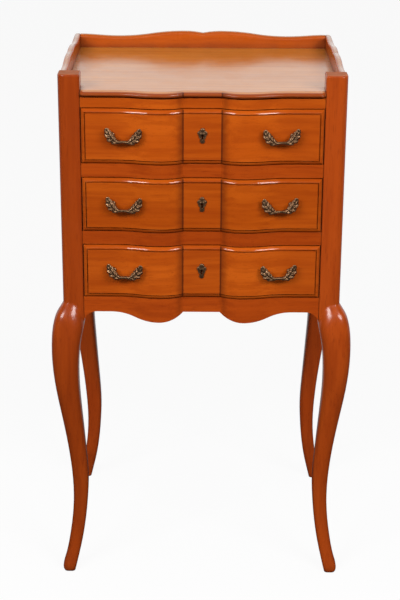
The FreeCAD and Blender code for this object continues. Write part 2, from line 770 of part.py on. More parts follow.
def quirk_channel(low, high):
    """Narrow channel round the field of a drawer front, whose field is between two heights."""
    outer = -DRAWER_PROUD - QUIRK
    end = FIELD_HALF + QUIRK_WIDTH
    upright = block(FIELD_HALF, end, outer, QUIRK_DEPTH - DRAWER_PROUD, low - QUIRK_WIDTH, high + QUIRK_WIDTH)
    rise = Vector(0, 0, QUIRK_WIDTH)
    pieces = both_sides(upright)
    for z in (low - QUIRK_WIDTH, high):
        core = prism(bow_outline(end, DRAWER_PROUD - QUIRK_DEPTH, POST_SIZE, z), rise)
        pieces.append(prism(bow_outline(end, -outer, POST_SIZE, z), rise).cut(core))
    return pieces


def keyhole(depth, y):
    """Key-shaped plug that stands depth deep behind y."""
    back = Vector(0, 1, 0)
    eye = rod(KEYHOLE_RADIUS, Vector(0, y, PLATE_LEVEL), back, depth)
    half = KEYHOLE_SLOT_WIDTH / 2
    slot = block(-half, half, y, y + depth, PLATE_LEVEL - KEYHOLE_SLOT_LENGTH, PLATE_LEVEL)
    return eye.fuse(slot)


def drawer_front():
    """Crossbow drawer front with a thumbnail moulding, sockets for the dovetails and a bottom groove."""
    bottom = DRAWER_GAP
    top = OPENING_HEIGHT - DRAWER_GAP
    plan = prism(moulded_plan(bottom), Vector(0, 0, top - bottom))
    low = bottom + MOULDING
    high = top - MOULDING
    field = prism(bow_outline(OPENING_HALF, DRAWER_PROUD, POST_SIZE, low), Vector(0, 0, high - low))
    body = plan.common(joined(field, ovolo(bottom, 1), ovolo(top, -1)))
    sockets = []
    for index in range(TAIL_COUNT):
        sockets += both_sides(tail(index))
    holes = [screw for x in (-1, 1) for screw in pull_screws(x, SCREW_ROOM)]
    holes += [drawer_bottom(), keyhole(KEYHOLE_DEPTH, -DRAWER_PROUD)]
    return body.cut(sockets + holes + quirk_channel(low, high))


def pull_place(side):
    """Place of a pull: on the drawer's face, turned to follow its slope."""
    near = bow_out(PULL_AT - BOSS_AT)
    far = bow_out(PULL_AT + BOSS_AT)
    slope = math.degrees(math.atan2(near - far, 2 * BOSS_AT))
    spot = Vector(side * PULL_AT, -(near + far) / 2 - DRAWER_PROUD, PULL_LEVEL)
    return FreeCAD.Placement(spot, FreeCAD.Rotation(Vector(0, 0, 1), side * slope))


def placed(shape, placement):
    """A copy of a shape moved from its own frame to a place."""
    return shape.transformed(placement.toMatrix())


def between(ends, share):
    """Value at a share of the way between two ends."""
    return ends[0] + (ends[1] - ends[0]) * share


def wing_point(across_up, share):
    """Point on the spine of a pull's leaf, which comes nearer to the drawer towards its tip."""
    across, up = across_up
    return Vector(across, -between(WING_OUT, share), up)


def wing():
    """Right leaf of a pull: a swelling horn from the grip bar up and outwards."""
    spots = (wing_point(WING_ROOT, 0.0), wing_point(WING_MIDDLE, 0.5), wing_point(WING_TIP, 1.0))
    spine = Part.Arc(*spots).toShape()
    sections = []
    for step in range(WING_STEPS + 1):
        share = step / WING_STEPS
        swell = math.sin(math.pi * share)
        half_height = between(WING_HALF_HEIGHT, share) + WING_SWELL[0] * swell
        half_depth = between(WING_HALF_DEPTH, share) + WING_SWELL[1] * swell
        parameter = between(spine.ParameterRange, share)
        along = spine.tangentAt(parameter)
        beside = along.cross(OUTWARD).normalize()
        turn = FreeCAD.Rotation(beside, along.cross(beside), along, "ZXY")
        ellipse = Part.Ellipse(Vector(0, 0, 0), half_height, half_depth).toShape()
        sections.append(Part.Wire(placed(ellipse, FreeCAD.Placement(spine.valueAt(parameter), turn))))
    return Part.makeLoft(sections, True, True)


def grip_bar():
    """Low bar whose ends run into the two leaves, sagging a little."""
    root = wing_point(WING_ROOT, 0.0)
    start = Vector(-BAR_REACH, root.y, root.z)
    end = Vector(BAR_REACH, root.y, root.z)
    path = Part.Wire(Part.Arc(start, Vector(0, root.y, root.z - BAR_SAG), end).toShape())
    lean = math.atan(BAR_SAG / BAR_REACH) * 2
    heading = Vector(math.cos(lean), 0, -math.sin(lean))
    section = Part.Wire(Part.Circle(start, heading, BAR_RADIUS).toShape())
    return path.makePipeShell([section], True, False)


def boss():
    """Right boss behind a leaf, long enough to be scribed to the drawer's face."""
    out = between(WING_OUT, 0.5)
    return rod(BOSS_RADIUS, Vector(BOSS_AT, -out, BOSS_UP), Vector(0, 1, 0), out + BOW_DEPTH)


def pull_screws(side, room=0.0):
    """Two screws of one pull; room widens them into their holes."""
    place = pull_place(side)
    screws = []
    seat = FRONT_BACK + DRAWER_PROUD + bow_out(PULL_AT) - BOW_DEPTH / 2
    for end in (-1, 1):
        head_start = Vector(end * BOSS_AT, seat, BOSS_UP)
        inward = Vector(0, 1, 0)
        head_length = SCREW_HEAD_HEIGHT if room == 0.0 else FRONT_BACK
        head = rod(SCREW_HEAD_RADIUS + room, head_start, inward, head_length)
        shank = rod(SCREW_RADIUS + room, head_start, OUTWARD, seat + SCREW_BITE)
        screws.append(placed(head.fuse(shank).removeSplitter(), place))
    return screws


def pull(side, front):
    """Cast pull: two leaves on bosses joined by a low bar, scribed to the drawer front."""
    leaf = wing().fuse(boss())
    body = leaf.fuse([mirror_x(leaf), grip_bar()])
    return placed(body, pull_place(side)).cut([front] + pull_screws(side, SCREW_ROOM)).Solids[0]


def key_plate():
    """Cast plate round the keyhole of a drawer."""
    discs = []
    for across, up, radius in PLATE_DISCS:
        discs.append(rod(radius, Vector(across, -DRAWER_PROUD, PLATE_LEVEL + up), OUTWARD, PLATE_THICKNESS))
    hole = keyhole(PLATE_THICKNESS, -DRAWER_PROUD - PLATE_THICKNESS)
    return joined(*discs).cut(hole)


def drawer_pieces():
    """The pieces of one drawer, whose floor is at z = 0."""
    front = drawer_front()
    side = drawer_side()
    return {
        "front": front,
        "left_side": mirror_x(side),
        "right_side": side,
        "back": drawer_back(),
        "bottom": drawer_bottom(),
        "left_pull": pull(-1, front),
        "right_pull": pull(1, front),
        "key_plate": key_plate(),
        "pull_screws": Part.makeCompound(pull_screws(-1) + pull_screws(1)),
    }


def runner_holes(floor):
    """Holes in the right side board for the screws of one runner."""
    return [runner_screw(y, z + floor, SCREW_ROOM) for y, z in runner_screw_places()]


def case_pieces():
    """The pieces of the case, by name."""
    rails = {
        "frieze_rail": frieze_rail(),
        "upper_rail": front_rail(opening_floor(0) - RAIL_HEIGHT, opening_floor(0)),
        "lower_rail": front_rail(opening_floor(1) - RAIL_HEIGHT, opening_floor(1)),
        "front_apron": front_apron(),
    }
    right_side = side_board()
    screws = []
    stops = []
    floors = [opening_floor(index) for index in range(len(DRAWER_NAMES))]
    for floor in floors:
        stops += both_sides(drawer_stop(floor))
        for y, z in runner_screw_places():
            screws += both_sides(runner_screw(y, z + floor))
    front_leg = front_leg_blank().cut(list(rails.values()) + [right_side])
    lower_back = back_rail()
    panel = back_panel()
    rear_leg = rear_leg_blank().cut([gallery_tongue(), lower_back, panel, mirror_depth(side_tongue())])
    right_side = right_side.cut([screw for floor in floors for screw in runner_holes(floor)])
    pieces = {
        "front_right_leg": front_leg,
        "front_left_leg": mirror_x(front_leg),
        "rear_right_leg": rear_leg,
        "rear_left_leg": mirror_x(rear_leg),
        "right_side_board": right_side,
        "left_side_board": mirror_x(right_side),
        "back_gallery": back_gallery(),
        "back_panel": panel,
        "back_rail": lower_back,
        "top_board": top_board(),
        "right_kicker": kicker(),
        "left_kicker": mirror_x(kicker()),
        "drawer_stops": Part.makeCompound(stops),
        "glue_blocks": Part.makeCompound([glue_block(x) for x in GLUE_BLOCK_AT]),
        "runner_screws": Part.makeCompound(screws),
    }
    pieces.update(rails)
    for name, floor in zip(DRAWER_NAMES, floors):
        right = runner().translated(Vector(0, 0, floor))
        pieces[name + "_right_runner"] = right
        pieces[name + "_left_runner"] = mirror_x(right)
    return pieces


def main():
    """Build every piece, move the origin under the middle of the stand and write the files."""
    pieces = case_pieces()
    drawer = drawer_pieces()
    for index, name in enumerate(DRAWER_NAMES):
        lift = Vector(0, 0, opening_floor(index))
        for piece, shape in drawer.items():
            pieces[name + "_drawer_" + piece] = shape.translated(lift)
    box = Part.makeCompound(list(pieces.values())).optimalBoundingBox(False)
    shift = Vector(-box.Center.x, -box.Center.y, -box.ZMin)
    os.makedirs("parts", exist_ok=True)
    for name, shape in pieces.items():
        moved = shape.translated(shift)
        moved.exportStep("parts/" + name + ".step")
        print(name, len(moved.Solids), moved.isValid(), round(moved.Volume))
    print("moved by", round(shift.x, 3), round(shift.y, 3), round(shift.z, 3))
    print("size", round(box.XLength, 2), round(box.YLength, 2), round(box.ZLength, 2))


if __name__ == "__main__":
    main()
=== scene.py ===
"""Looks of a three-drawer bedside stand: varnished cherry, cast brass pulls and a plain studio.

Metres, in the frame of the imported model: x across, the front towards -y, the floor at z = 0.
"""
import logging
import math
from dataclasses import dataclass, replace
from enum import Enum

import bmesh
import bpy
from mathutils import Matrix, Vector


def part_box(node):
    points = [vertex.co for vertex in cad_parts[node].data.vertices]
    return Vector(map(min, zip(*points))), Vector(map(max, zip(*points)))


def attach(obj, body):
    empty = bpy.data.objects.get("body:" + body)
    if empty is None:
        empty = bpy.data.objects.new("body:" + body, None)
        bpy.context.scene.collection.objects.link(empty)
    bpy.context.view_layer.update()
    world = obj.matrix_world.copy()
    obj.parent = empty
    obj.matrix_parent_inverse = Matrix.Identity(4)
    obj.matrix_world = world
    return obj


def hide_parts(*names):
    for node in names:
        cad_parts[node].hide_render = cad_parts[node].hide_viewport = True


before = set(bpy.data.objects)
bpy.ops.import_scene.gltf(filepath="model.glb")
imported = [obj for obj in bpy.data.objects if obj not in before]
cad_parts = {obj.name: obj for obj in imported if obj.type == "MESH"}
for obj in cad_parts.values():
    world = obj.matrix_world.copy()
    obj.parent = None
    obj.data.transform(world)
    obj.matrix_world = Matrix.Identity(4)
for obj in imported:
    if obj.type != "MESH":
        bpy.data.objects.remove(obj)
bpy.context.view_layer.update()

MM = 0.001
TINY = 1e-6
DRAWER_NAMES = ("top", "middle", "bottom")
SIDES = {"left": -1, "right": 1}
WHITE = (1.0, 1.0, 1.0)
X_AXIS = Vector((1.0, 0.0, 0.0))
Y_AXIS = Vector((0.0, 1.0, 0.0))
Z_AXIS = Vector((0.0, 0.0, 1.0))

Pair = tuple[float, float]
Triple = tuple[float, float, float]
Colour = Triple
Socket = bpy.types.NodeSocket
Sockets = dict[str, Socket]
Rings = list[list[Vector]]
Value = float | Triple | Socket
log = logging.getLogger("bedside_stand")


def blend_values(first: float, second: float, share: float) -> float:
    """Value at a share of the way from the first to the second."""
    return first + (second - first) * share


def add_object(name: str, data: bpy.types.ID) -> bpy.types.Object:
    """Put a new object into the scene.

    Args:
        name: name of the object.
        data: its mesh, lamp or camera.

    Returns:
        The object.
    """
    made = bpy.data.objects.new(name, data)
    bpy.context.scene.collection.objects.link(made)
    return made


class Sheet:
    """A node tree that nodes are laid on and joined in."""

    def __init__(self, tree: bpy.types.NodeTree) -> None:
        """Start on a tree, which is emptied."""
        self.tree = tree
        tree.nodes.clear()

    def feed(self, socket: Socket, value: Value) -> None:
        """Set a socket to a plain value, or link another node's output to it.

        Args:
            socket: the input to fill.
            value: a number, a colour, a vector or an output socket.
        """
        if isinstance(value, Socket):
            self.tree.links.new(value, socket)
        elif socket.type == "RGBA" and len(value) == 3:
            socket.default_value = (*value, 1.0)
        else:
            socket.default_value = value

    def node(
        self, kind: str, inputs: dict[str | int, Value] | None = None, **options: object,
    ) -> bpy.types.Node:
        """Lay one node.

        Args:
            kind: Blender's name of the node type, without its ShaderNode start.
            inputs: values or outputs for its inputs, by name or place.
            options: settings of the node itself.

        Returns:
            The node.
        """
        made = self.tree.nodes.new("ShaderNode" + kind)
        for name, option in options.items():
            setattr(made, name, option)
        for key, value in (inputs or {}).items():
            self.feed(made.inputs[key], value)
        return made

    def math(self, operation: str, *values: Value) -> Socket:
        """Output of a sum, product or other operation on numbers."""
        return self.node("Math", dict(enumerate(values)), operation=operation).outputs[0]

    def vector(self, operation: str, *values: Value) -> Socket:
        """Output of an operation on vectors that gives a vector."""
        return self.node("VectorMath", dict(enumerate(values)), operation=operation).outputs["Vector"]

    def agreement(self, first: Value, second: Value) -> Socket:
        """How far two directions agree: 1 when they are the same."""
        return self.node("VectorMath", {0: first, 1: second}, operation="DOT_PRODUCT").outputs["Value"]

    def mix(self, share: Value, first: Value, second: Value) -> Socket:
        """Colour at a share of the way from the first to the second; a Mix node's colours go by place."""
        return self.node("Mix", {0: share, 6: first, 7: second}, data_type="RGBA").outputs[2]

    def lay(self, colour: Value, tone: Colour, mask: Socket, share: float) -> Socket:
        """Colour with a share of a tone laid on where a mask shows."""
        return self.mix(self.math("MULTIPLY", mask, share), colour, tone)

    def step(self, value: Value, marks: tuple[Value, Value], ends: Pair = (0.0, 1.0)) -> Socket:
        """Smooth step of a number between two marks, from the first end to the second."""
        inputs = dict(enumerate((value, *marks, *ends)))
        return self.node("MapRange", inputs, interpolation_type="SMOOTHSTEP").outputs[0]

    def noise(self, vector: Value, scale: Value, detail: float, roughness: float = 0.5) -> Socket:
        """Cloudy noise from 0 to 1 at a vector."""
        inputs = {"Vector": vector, "Scale": scale, "Detail": detail, "Roughness": roughness}
        return self.node("TexNoise", inputs).outputs[0]

    def close(self, shader: bpy.types.Node, kind: str = "OutputMaterial") -> None:
        """Put a shader out as the surface."""
        self.feed(self.node(kind).inputs["Surface"], shader.outputs[0])


def new_material(name: str) -> tuple[bpy.types.Material, Sheet]:
    """Start a material.

    Args:
        name: name of the material.

    Returns:
        The material and the empty sheet of its nodes.
    """
    material = bpy.data.materials.new(name)
    material.use_nodes = True
    return material, Sheet(material.node_tree)


@dataclass(frozen=True)
class Cloud:
    """A cloudy noise that steps between two marks, from one end to the other."""

    scale: float
    detail: float
    marks: Pair
    roughness: float = 0.5
    ends: Pair = (0.0, 1.0)

    def mask(self, sheet: Sheet, vector: Socket, scale: Value | None = None) -> Socket:
        """Mask at a vector, at the noise's own scale or a given one."""
        noise = sheet.noise(vector, scale or self.scale, self.detail, self.roughness)
        return sheet.step(noise, self.marks, self.ends)


class Effect:
    """A shader node group that several finishes share. It is built once, on first use.

    Its inputs are vectors, and numbers with their usual values. It puts out masks and normals.
    """

    name: str = ""
    vectors: tuple[str, ...] = ("Vector",)
    numbers: dict[str, float] = {}
    masks: tuple[str, ...] = ()
    normals: tuple[str, ...] = ()

    def draw(self, sheet: Sheet, given: Sockets) -> Sockets:
        """Lay the group's nodes.

        Args:
            sheet: the group's tree.
            given: its inputs by name.

        Returns:
            What to put out, by output name.
        """
        raise NotImplementedError

    def tree(self) -> bpy.types.NodeTree:
        """Find the group, or make it if it isn't there yet.

        Returns:
            The group's tree.
        """
        found = bpy.data.node_groups.get(self.name)
        if found:
            return found
        tree = bpy.data.node_groups.new(self.name, "ShaderNodeTree")
        number, vector = "NodeSocketFloat", "NodeSocketVector"
        for name in self.vectors:
            tree.interface.new_socket(name, in_out="INPUT", socket_type=vector)
        for name, usual in self.numbers.items():
            tree.interface.new_socket(name, in_out="INPUT", socket_type=number).default_value = usual
        for name in self.masks:
            tree.interface.new_socket(name, in_out="OUTPUT", socket_type=number)
        for name in self.normals:
            tree.interface.new_socket(name, in_out="OUTPUT", socket_type=vector)
        sheet = Sheet(tree)
        given = tree.nodes.new("NodeGroupInput")
        taken = tree.nodes.new("NodeGroupOutput")
        for name, socket in self.draw(sheet, given.outputs).items():
            tree.links.new(socket, taken.inputs[name])
        return tree

    def place(self, sheet: Sheet, **inputs: Value) -> Sockets:
        """Use the group in a material.

        Args:
            sheet: the material's tree.
            inputs: values for the group's inputs, with _ for a blank.

        Returns:
            The group's outputs by name.
        """
        made = sheet.tree.nodes.new("ShaderNodeGroup")
        made.node_tree = self.tree()
        for name, value in inputs.items():
            sheet.feed(made.inputs[name.replace("_", " ")], value)
        return {socket.name: socket for socket in made.outputs}


class WoodGrain(Effect):
    """Figure, streaks and pores of sawn wood whose grain runs along the vector's x."""

    name = "wood_grain"
    numbers = {"Figure Scale": 1.0, "Streak Scale": 1.0}
    masks = ("Figure", "Streak", "Pore")
    bend_stretch = (2.0, 5.0, 5.0)
    bend_detail = 2.0
    bend_reach = (0.05, 0.04)
    figure_stretch = (1.6, 20.0, 20.0)
    figure = Cloud(1.0, 4.0, (0.34, 0.66))
    streak_stretch = (5.0, 150.0, 150.0)
    streak = Cloud(1.0, 4.0, (0.36, 0.68))
    pore_stretch = (60.0, 1100.0, 1100.0)
    pore = Cloud(1.0, 1.0, (0.60, 0.74))

    def draw(self, sheet: Sheet, given: Sockets) -> Sockets:
        """Three stretched noises, the two broader ones bent by a fourth.

        Args:
            sheet: the group's tree.
            given: its inputs by name.

        Returns:
            Figure, streak and pore masks.
        """
        vector = given["Vector"]
        bend = sheet.noise(sheet.vector("MULTIPLY", vector, self.bend_stretch), 1.0, self.bend_detail)
        across, up = (sheet.math("MULTIPLY", bend, reach) for reach in self.bend_reach)
        bent = sheet.vector("ADD", vector, sheet.node("CombineXYZ", {1: across, 2: up}).outputs[0])
        broad = sheet.vector("MULTIPLY", bent, self.figure_stretch)
        thin = sheet.vector("MULTIPLY", bent, self.streak_stretch)
        fine = sheet.vector("MULTIPLY", vector, self.pore_stretch)
        return {
            "Figure": self.figure.mask(sheet, broad, given["Figure Scale"]),
            "Streak": self.streak.mask(sheet, thin, given["Streak Scale"]),
            "Pore": self.pore.mask(sheet, fine),
        }


class EdgeWear(Effect):
    """Softened arrises: a normal rounded over each edge, and a broken mask of where they are rubbed."""

    name = "edge_wear"
    numbers = {"Round": 0.6 * MM, "Rub": 1.2 * MM}
    masks = ("Rubbed",)
    normals = ("Normal",)
    samples = 6
    edge_marks = (0.99, 0.85)
    patches = Cloud(55.0, 3.0, (0.46, 0.68), roughness=0.65)

    def draw(self, sheet: Sheet, given: Sockets) -> Sockets:
        """Compare the surface with its own rounded form.

        Args:
            sheet: the group's tree.
            given: its inputs by name.

        Returns:
            The rounded normal and the rubbed mask.
        """
        rounded = sheet.node("Bevel", {"Radius": given["Round"]}, samples=self.samples)
        wide = sheet.node("Bevel", {"Radius": given["Rub"]}, samples=self.samples)
        flat = sheet.node("NewGeometry").outputs["Normal"]
        edge = sheet.step(sheet.agreement(wide.outputs[0], flat), self.edge_marks)
        broken = self.patches.mask(sheet, given["Vector"])
        return {"Normal": rounded.outputs[0], "Rubbed": sheet.math("MULTIPLY", edge, broken)}


class Crevice(Effect):
    """Darkening where surfaces meet, found by occlusion: painted shade in corners, gaps and under overhangs,
    and old polish and dust.
    """

    name = "crevice"
    numbers = {"Distance": 6.0 * MM, "Start": 0.75}
    masks = ("DirtAndShade",)
    samples = 8
    shut_at = 0.2
    patches = Cloud(40.0, 3.0, (0.3, 0.7), ends=(0.65, 1.0))

    def draw(self, sheet: Sheet, given: Sockets) -> Sockets:
        """Occlusion, broken up by noise.

        Args:
            sheet: the group's tree.
            given: its inputs by name.

        Returns:
            The mask of dirt and painted shade.
        """
        occlusion = sheet.node("AmbientOcclusion", {"Distance": given["Distance"]}, samples=self.samples)
        shut = sheet.step(occlusion.outputs["AO"], (given["Start"], self.shut_at))
        return {"DirtAndShade": sheet.math("MULTIPLY", shut, self.patches.mask(sheet, given["Vector"]))}


class Mottle(Effect):
    """Slow changes of tone over a piece, and the fine haze of an old polish."""

    name = "mottle"
    masks = ("Tone", "Haze")
    tone = Cloud(7.0, 2.0, (0.3, 0.7))
    haze = Cloud(38.0, 5.0, (0.35, 0.7), roughness=0.6)

    def draw(self, sheet: Sheet, given: Sockets) -> Sockets:
        """One slow noise and one finer one."""
        vector = given["Vector"]
        return {"Tone": self.tone.mask(sheet, vector), "Haze": self.haze.mask(sheet, vector)}


class CreaseShade(Effect):
    """Painted shade in the two upright creases of a crossbow front, where its swells meet its flat middle.

    Marks are distances outwards from a crease, or behind the front.
    """

    name = "crease_shade"
    masks = ("Shade", "Flats")
    crease_at = 25.7 * MM
    front = -157.0 * MM
    front_marks = (3.0 * MM, 0.0)
    soft_marks = (13.0 * MM, 0.0)
    soft_ends = (0.0, 0.55)
    line_marks = (2.6 * MM, 0.6 * MM)
    line_ends = (0.0, 0.45)
    outside_marks = (-0.8 * MM, -0.2 * MM)
    middle_marks = (12.0 * MM, -2.0 * MM)
    end_marks = (62.0 * MM, 102.0 * MM)

    def draw(self, sheet: Sheet, given: Sockets) -> Sockets:
        """A sharp line on each crease that fades out over the swell beside it, on the front only.

        Args:
            sheet: the group's tree.
            given: its inputs by name.

        Returns:
            The mask of painted shade on the creases, and the mask of the flat middle and ends, where shade is
            painted too.
        """
        spot = sheet.node("SeparateXYZ", {0: given["Vector"]}).outputs
        away = sheet.math("SUBTRACT", sheet.math("ABSOLUTE", spot["X"]), self.crease_at)
        soft = sheet.step(away, self.soft_marks, self.soft_ends)
        line = sheet.step(away, self.line_marks, self.line_ends)
        outside = sheet.step(away, self.outside_marks)
        before = sheet.step(sheet.math("SUBTRACT", spot["Y"], self.front), self.front_marks)
        shade = sheet.math("MULTIPLY", sheet.math("ADD", soft, line), outside)
        flats = sheet.math("ADD", sheet.step(away, self.middle_marks), sheet.step(away, self.end_marks))
        return {"Shade": sheet.math("MULTIPLY", shade, before), "Flats": flats}


class Facing(Effect):
    """Surfaces that face along an axis, such as the ends of boards or the level of a top."""

    name = "facing"
    vectors = ("Axis",)
    numbers = {"Start": 0.75, "Full": 0.97}
    masks = ("Mask",)

    def draw(self, sheet: Sheet, given: Sockets) -> Sockets:
        """Compare the surface's own direction with the axis."""
        facing = sheet.agreement(sheet.node("NewGeometry").outputs["Normal"], given["Axis"])
        return {"Mask": sheet.step(sheet.math("ABSOLUTE", facing), (given["Start"], given["Full"]))}


class Grain(Enum):
    """Way that the grain of a board runs: its direction, and the turn that lays it along x."""

    ACROSS = ((1.0, 0.0, 0.0), (0.0, 0.0, 0.0))
    DEEP = ((0.0, 1.0, 0.0), (0.0, 0.0, -math.pi / 2))
    UPRIGHT = ((0.0, 0.0, 1.0), (0.0, math.pi / 2, 0.0))

    @property
    def axis(self) -> Triple:
        """Direction of the grain."""
        return self.value[0]

    @property
    def turn(self) -> Triple:
        """Turn that lays the grain along x."""
        return self.value[1]


@dataclass(frozen=True)
class Wood:
    """A wood finish: three tones, pores, a worn tone, a dark tone laid as dirt and as painted shade, and its
    gloss. Some finishes also paint sheen on level faces.

    Varnish is a coat over dull wood, which thins out in crevices and on end grain. Where there is no
    coat, the wood's own gloss stands for it and follows the rounded arrises.
    """

    pale: Colour
    warm: Colour
    dark: Colour
    pore: Colour
    worn: Colour
    dirt_and_shade: Colour
    roughness: float
    haze: float
    rub: float
    specular: float = 0.0
    level_roughness: float | None = None
    coat: float = 0.0
    level_coat: float | None = None
    coat_roughness: float = 0.13
    side_tone: Colour | None = None
    side_share: float = 0.95
    # Pale tone of painted sheen on faces that look upwards, and its share.
    level_sheen_tone: Colour | None = None
    level_sheen_share: float = 0.8
    level_marks: Pair = (0.93, 0.997)
    # Shares of painted shade in the creases and on the flat middle and ends of a crossbow front.
    crease: float = 0.0
    flat_shade: float = 0.0
    figure_scale: float = 1.0
    streak_scale: float = 1.0
    streak_share: float = 0.7
    tone_share: float = 0.3
    pore_share: float = 0.45
    # Reach, start and share of the dark tone where surfaces meet: dirt, and painted shade in corners, gaps
    # and under overhangs.
    dirt_and_shade_reach: float = 6.0 * MM
    dirt_and_shade_start: float = 0.75
    dirt_and_shade_share: float = 0.8
    end_share: float = 0.5
    end_bare: float = 0.8
    bare_dull: float = 0.3
    arris: float = 0.6 * MM
    relief: float = 0.04 * MM
    relief_strength: float = 0.35
    cup: float = 0.0

    def level_mask(self, sheet: Sheet) -> Socket:
        """Mask of the faces that lie level."""
        start, full = self.level_marks
        return Facing().place(sheet, Axis=Grain.UPRIGHT.axis, Start=start, Full=full)["Mask"]

    def by_level(self, sheet: Sheet, side: float, level: float | None) -> Value:
        """Number of the sides, which changes on level faces if these have their own."""
        return side if level is None else sheet.step(self.level_mask(sheet), (0.0, 1.0), (side, level))

    def masks(self, sheet: Sheet, grain: Grain, sawn_at: Triple) -> Sockets:
        """Place the shared effects.

        Args:
            sheet: the material's tree.
            grain: way that the grain runs.
            sawn_at: place in the log that the board was sawn from.

        Returns:
            The effects' outputs by name, with the ends of boards, and where the wood is bare.
        """
        coords = sheet.node("TexCoord").outputs["Object"]
        turned = {"Vector": coords, "Location": sawn_at, "Rotation": grain.turn}
        laid = sheet.node("Mapping", turned).outputs[0]
        scales = {"Figure_Scale": self.figure_scale, "Streak_Scale": self.streak_scale}
        masks = {
            **WoodGrain().place(sheet, Vector=laid, **scales),
            **Mottle().place(sheet, Vector=laid),
            **EdgeWear().place(sheet, Vector=laid, Round=self.arris),
            **Crevice().place(sheet, Vector=laid, Distance=self.dirt_and_shade_reach, Start=self.dirt_and_shade_start),
            "End": Facing().place(sheet, Axis=grain.axis)["Mask"],
        }
        if self.crease:
            masks |= CreaseShade().place(sheet, Vector=coords)
        bare_end = sheet.math("MULTIPLY", masks["End"], self.end_bare)
        return masks | {"Bare": sheet.math("MAXIMUM", masks["DirtAndShade"], bare_end)}

    def colour(self, sheet: Sheet, masks: Sockets) -> Socket:
        """Mix the tones.

        Args:
            sheet: the material's tree.
            masks: outputs of the effects.

        Returns:
            The colour of the wood.
        """
        colour = sheet.mix(masks["Figure"], self.pale, self.warm)
        colour = sheet.lay(colour, self.dark, masks["Streak"], self.streak_share)
        colour = sheet.lay(colour, self.warm, masks["Tone"], self.tone_share)
        colour = sheet.lay(colour, self.pore, masks["Pore"], self.pore_share)
        if self.side_tone:
            level = sheet.math("MULTIPLY", self.level_mask(sheet), self.side_share)
            colour = sheet.mix(level, self.side_tone, colour)
        # Painted sheen: a pale tone on faces that look upwards.
        if self.level_sheen_tone:
            upward = Facing().place(sheet, Axis=Grain.UPRIGHT.axis)["Mask"]
            colour = sheet.lay(colour, self.level_sheen_tone, upward, self.level_sheen_share)
        colour = sheet.lay(colour, self.worn, masks["End"], self.end_share)
        colour = sheet.lay(colour, self.worn, masks["Rubbed"], self.rub)
        # Dark tone where surfaces meet: dirt, and painted shade in corners, gaps and under overhangs.
        colour = sheet.lay(colour, self.dirt_and_shade, masks["DirtAndShade"], self.dirt_and_shade_share)
        # Painted shade: the pore tone on the flat middle and ends of a crossbow front.
        if self.flat_shade:
            colour = sheet.lay(colour, self.pore, masks["Flats"], self.flat_shade)
        # Painted shade in the creases of a crossbow front, in the dark tone.
        if self.crease:
            colour = sheet.lay(colour, self.dirt_and_shade, masks["Shade"], self.crease)
        return colour

    def gloss(self, sheet: Sheet, masks: Sockets) -> dict[str, Value]:
        """Work out the gloss, which haze and bare wood take away.

        Args:
            sheet: the material's tree.
            masks: outputs of the effects.

        Returns:
            Inputs of the shader by name.
        """
        dull = sheet.math("MULTIPLY", masks["Haze"], self.haze)
        dull = sheet.math("ADD", dull, sheet.math("MULTIPLY", masks["Bare"], self.bare_dull))
        least = self.by_level(sheet, self.roughness, self.level_roughness)
        inputs = {"Roughness": sheet.math("ADD", dull, least), "Specular IOR Level": self.specular}
        if self.coat:
            covered = sheet.math("SUBTRACT", 1.0, masks["Bare"])
            coat = self.by_level(sheet, self.coat, self.level_coat)
            inputs["Coat Weight"] = sheet.math("MULTIPLY", covered, coat)
            inputs["Coat Roughness"] = self.coat_roughness
        return inputs

    def surface(self, sheet: Sheet, masks: Sockets) -> Socket:
        """Raise the streaks on the rounded form, leaning back where a board is cupped.

        Args:
            sheet: the material's tree.
            masks: outputs of the effects.

        Returns:
            The normal.
        """
        normal = masks["Normal"]
        if self.cup:
            normal = sheet.vector("NORMALIZE", sheet.vector("ADD", normal, (0.0, self.cup, 0.0)))
        return sheet.node("Bump", {
            "Strength": self.relief_strength, "Distance": self.relief,
            "Height": masks["Streak"], "Normal": normal,
        }).outputs[0]

    def make(self, name: str, grain: Grain, sawn_at: Triple) -> bpy.types.Material:
        """Make the finish as a material.

        Args:
            name: name of the material.
            grain: way that the grain runs.
            sawn_at: place in the log that this board was sawn from.

        Returns:
            The material.
        """
        material, sheet = new_material(name)
        masks = self.masks(sheet, grain, sawn_at)
        colour, normal = self.colour(sheet, masks), self.surface(sheet, masks)
        inputs = {"Base Color": colour, "Normal": normal, **self.gloss(sheet, masks)}
        sheet.close(sheet.node("BsdfPrincipled", inputs))
        return material


# Drawer fronts carry painted shade in their creases and on their flat middle and ends.
CHERRY = Wood(
    pale=(0.56, 0.107, 0.0068), warm=(0.47, 0.080, 0.0046), dark=(0.35, 0.051, 0.0033),
    pore=(0.26, 0.034, 0.0026), worn=(0.58, 0.20, 0.06), dirt_and_shade=(0.050, 0.010, 0.004),
    roughness=0.45, haze=0.10, rub=0.35, coat=0.9, crease=0.8, flat_shade=0.3, figure_scale=1.5,
    dirt_and_shade_start=0.85,
)
MIDDLE_CHERRY = replace(
    CHERRY, pale=(0.485, 0.090, 0.0050), warm=(0.405, 0.067, 0.0034), dark=(0.305, 0.043, 0.0025),
    flat_shade=0.15,
)
# The frieze's dark tone reaches under the nosing as a painted shadow line.
FRIEZE_CHERRY = replace(CHERRY, dirt_and_shade_reach=12.0 * MM, dirt_and_shade_start=0.95, dirt_and_shade_share=0.95)
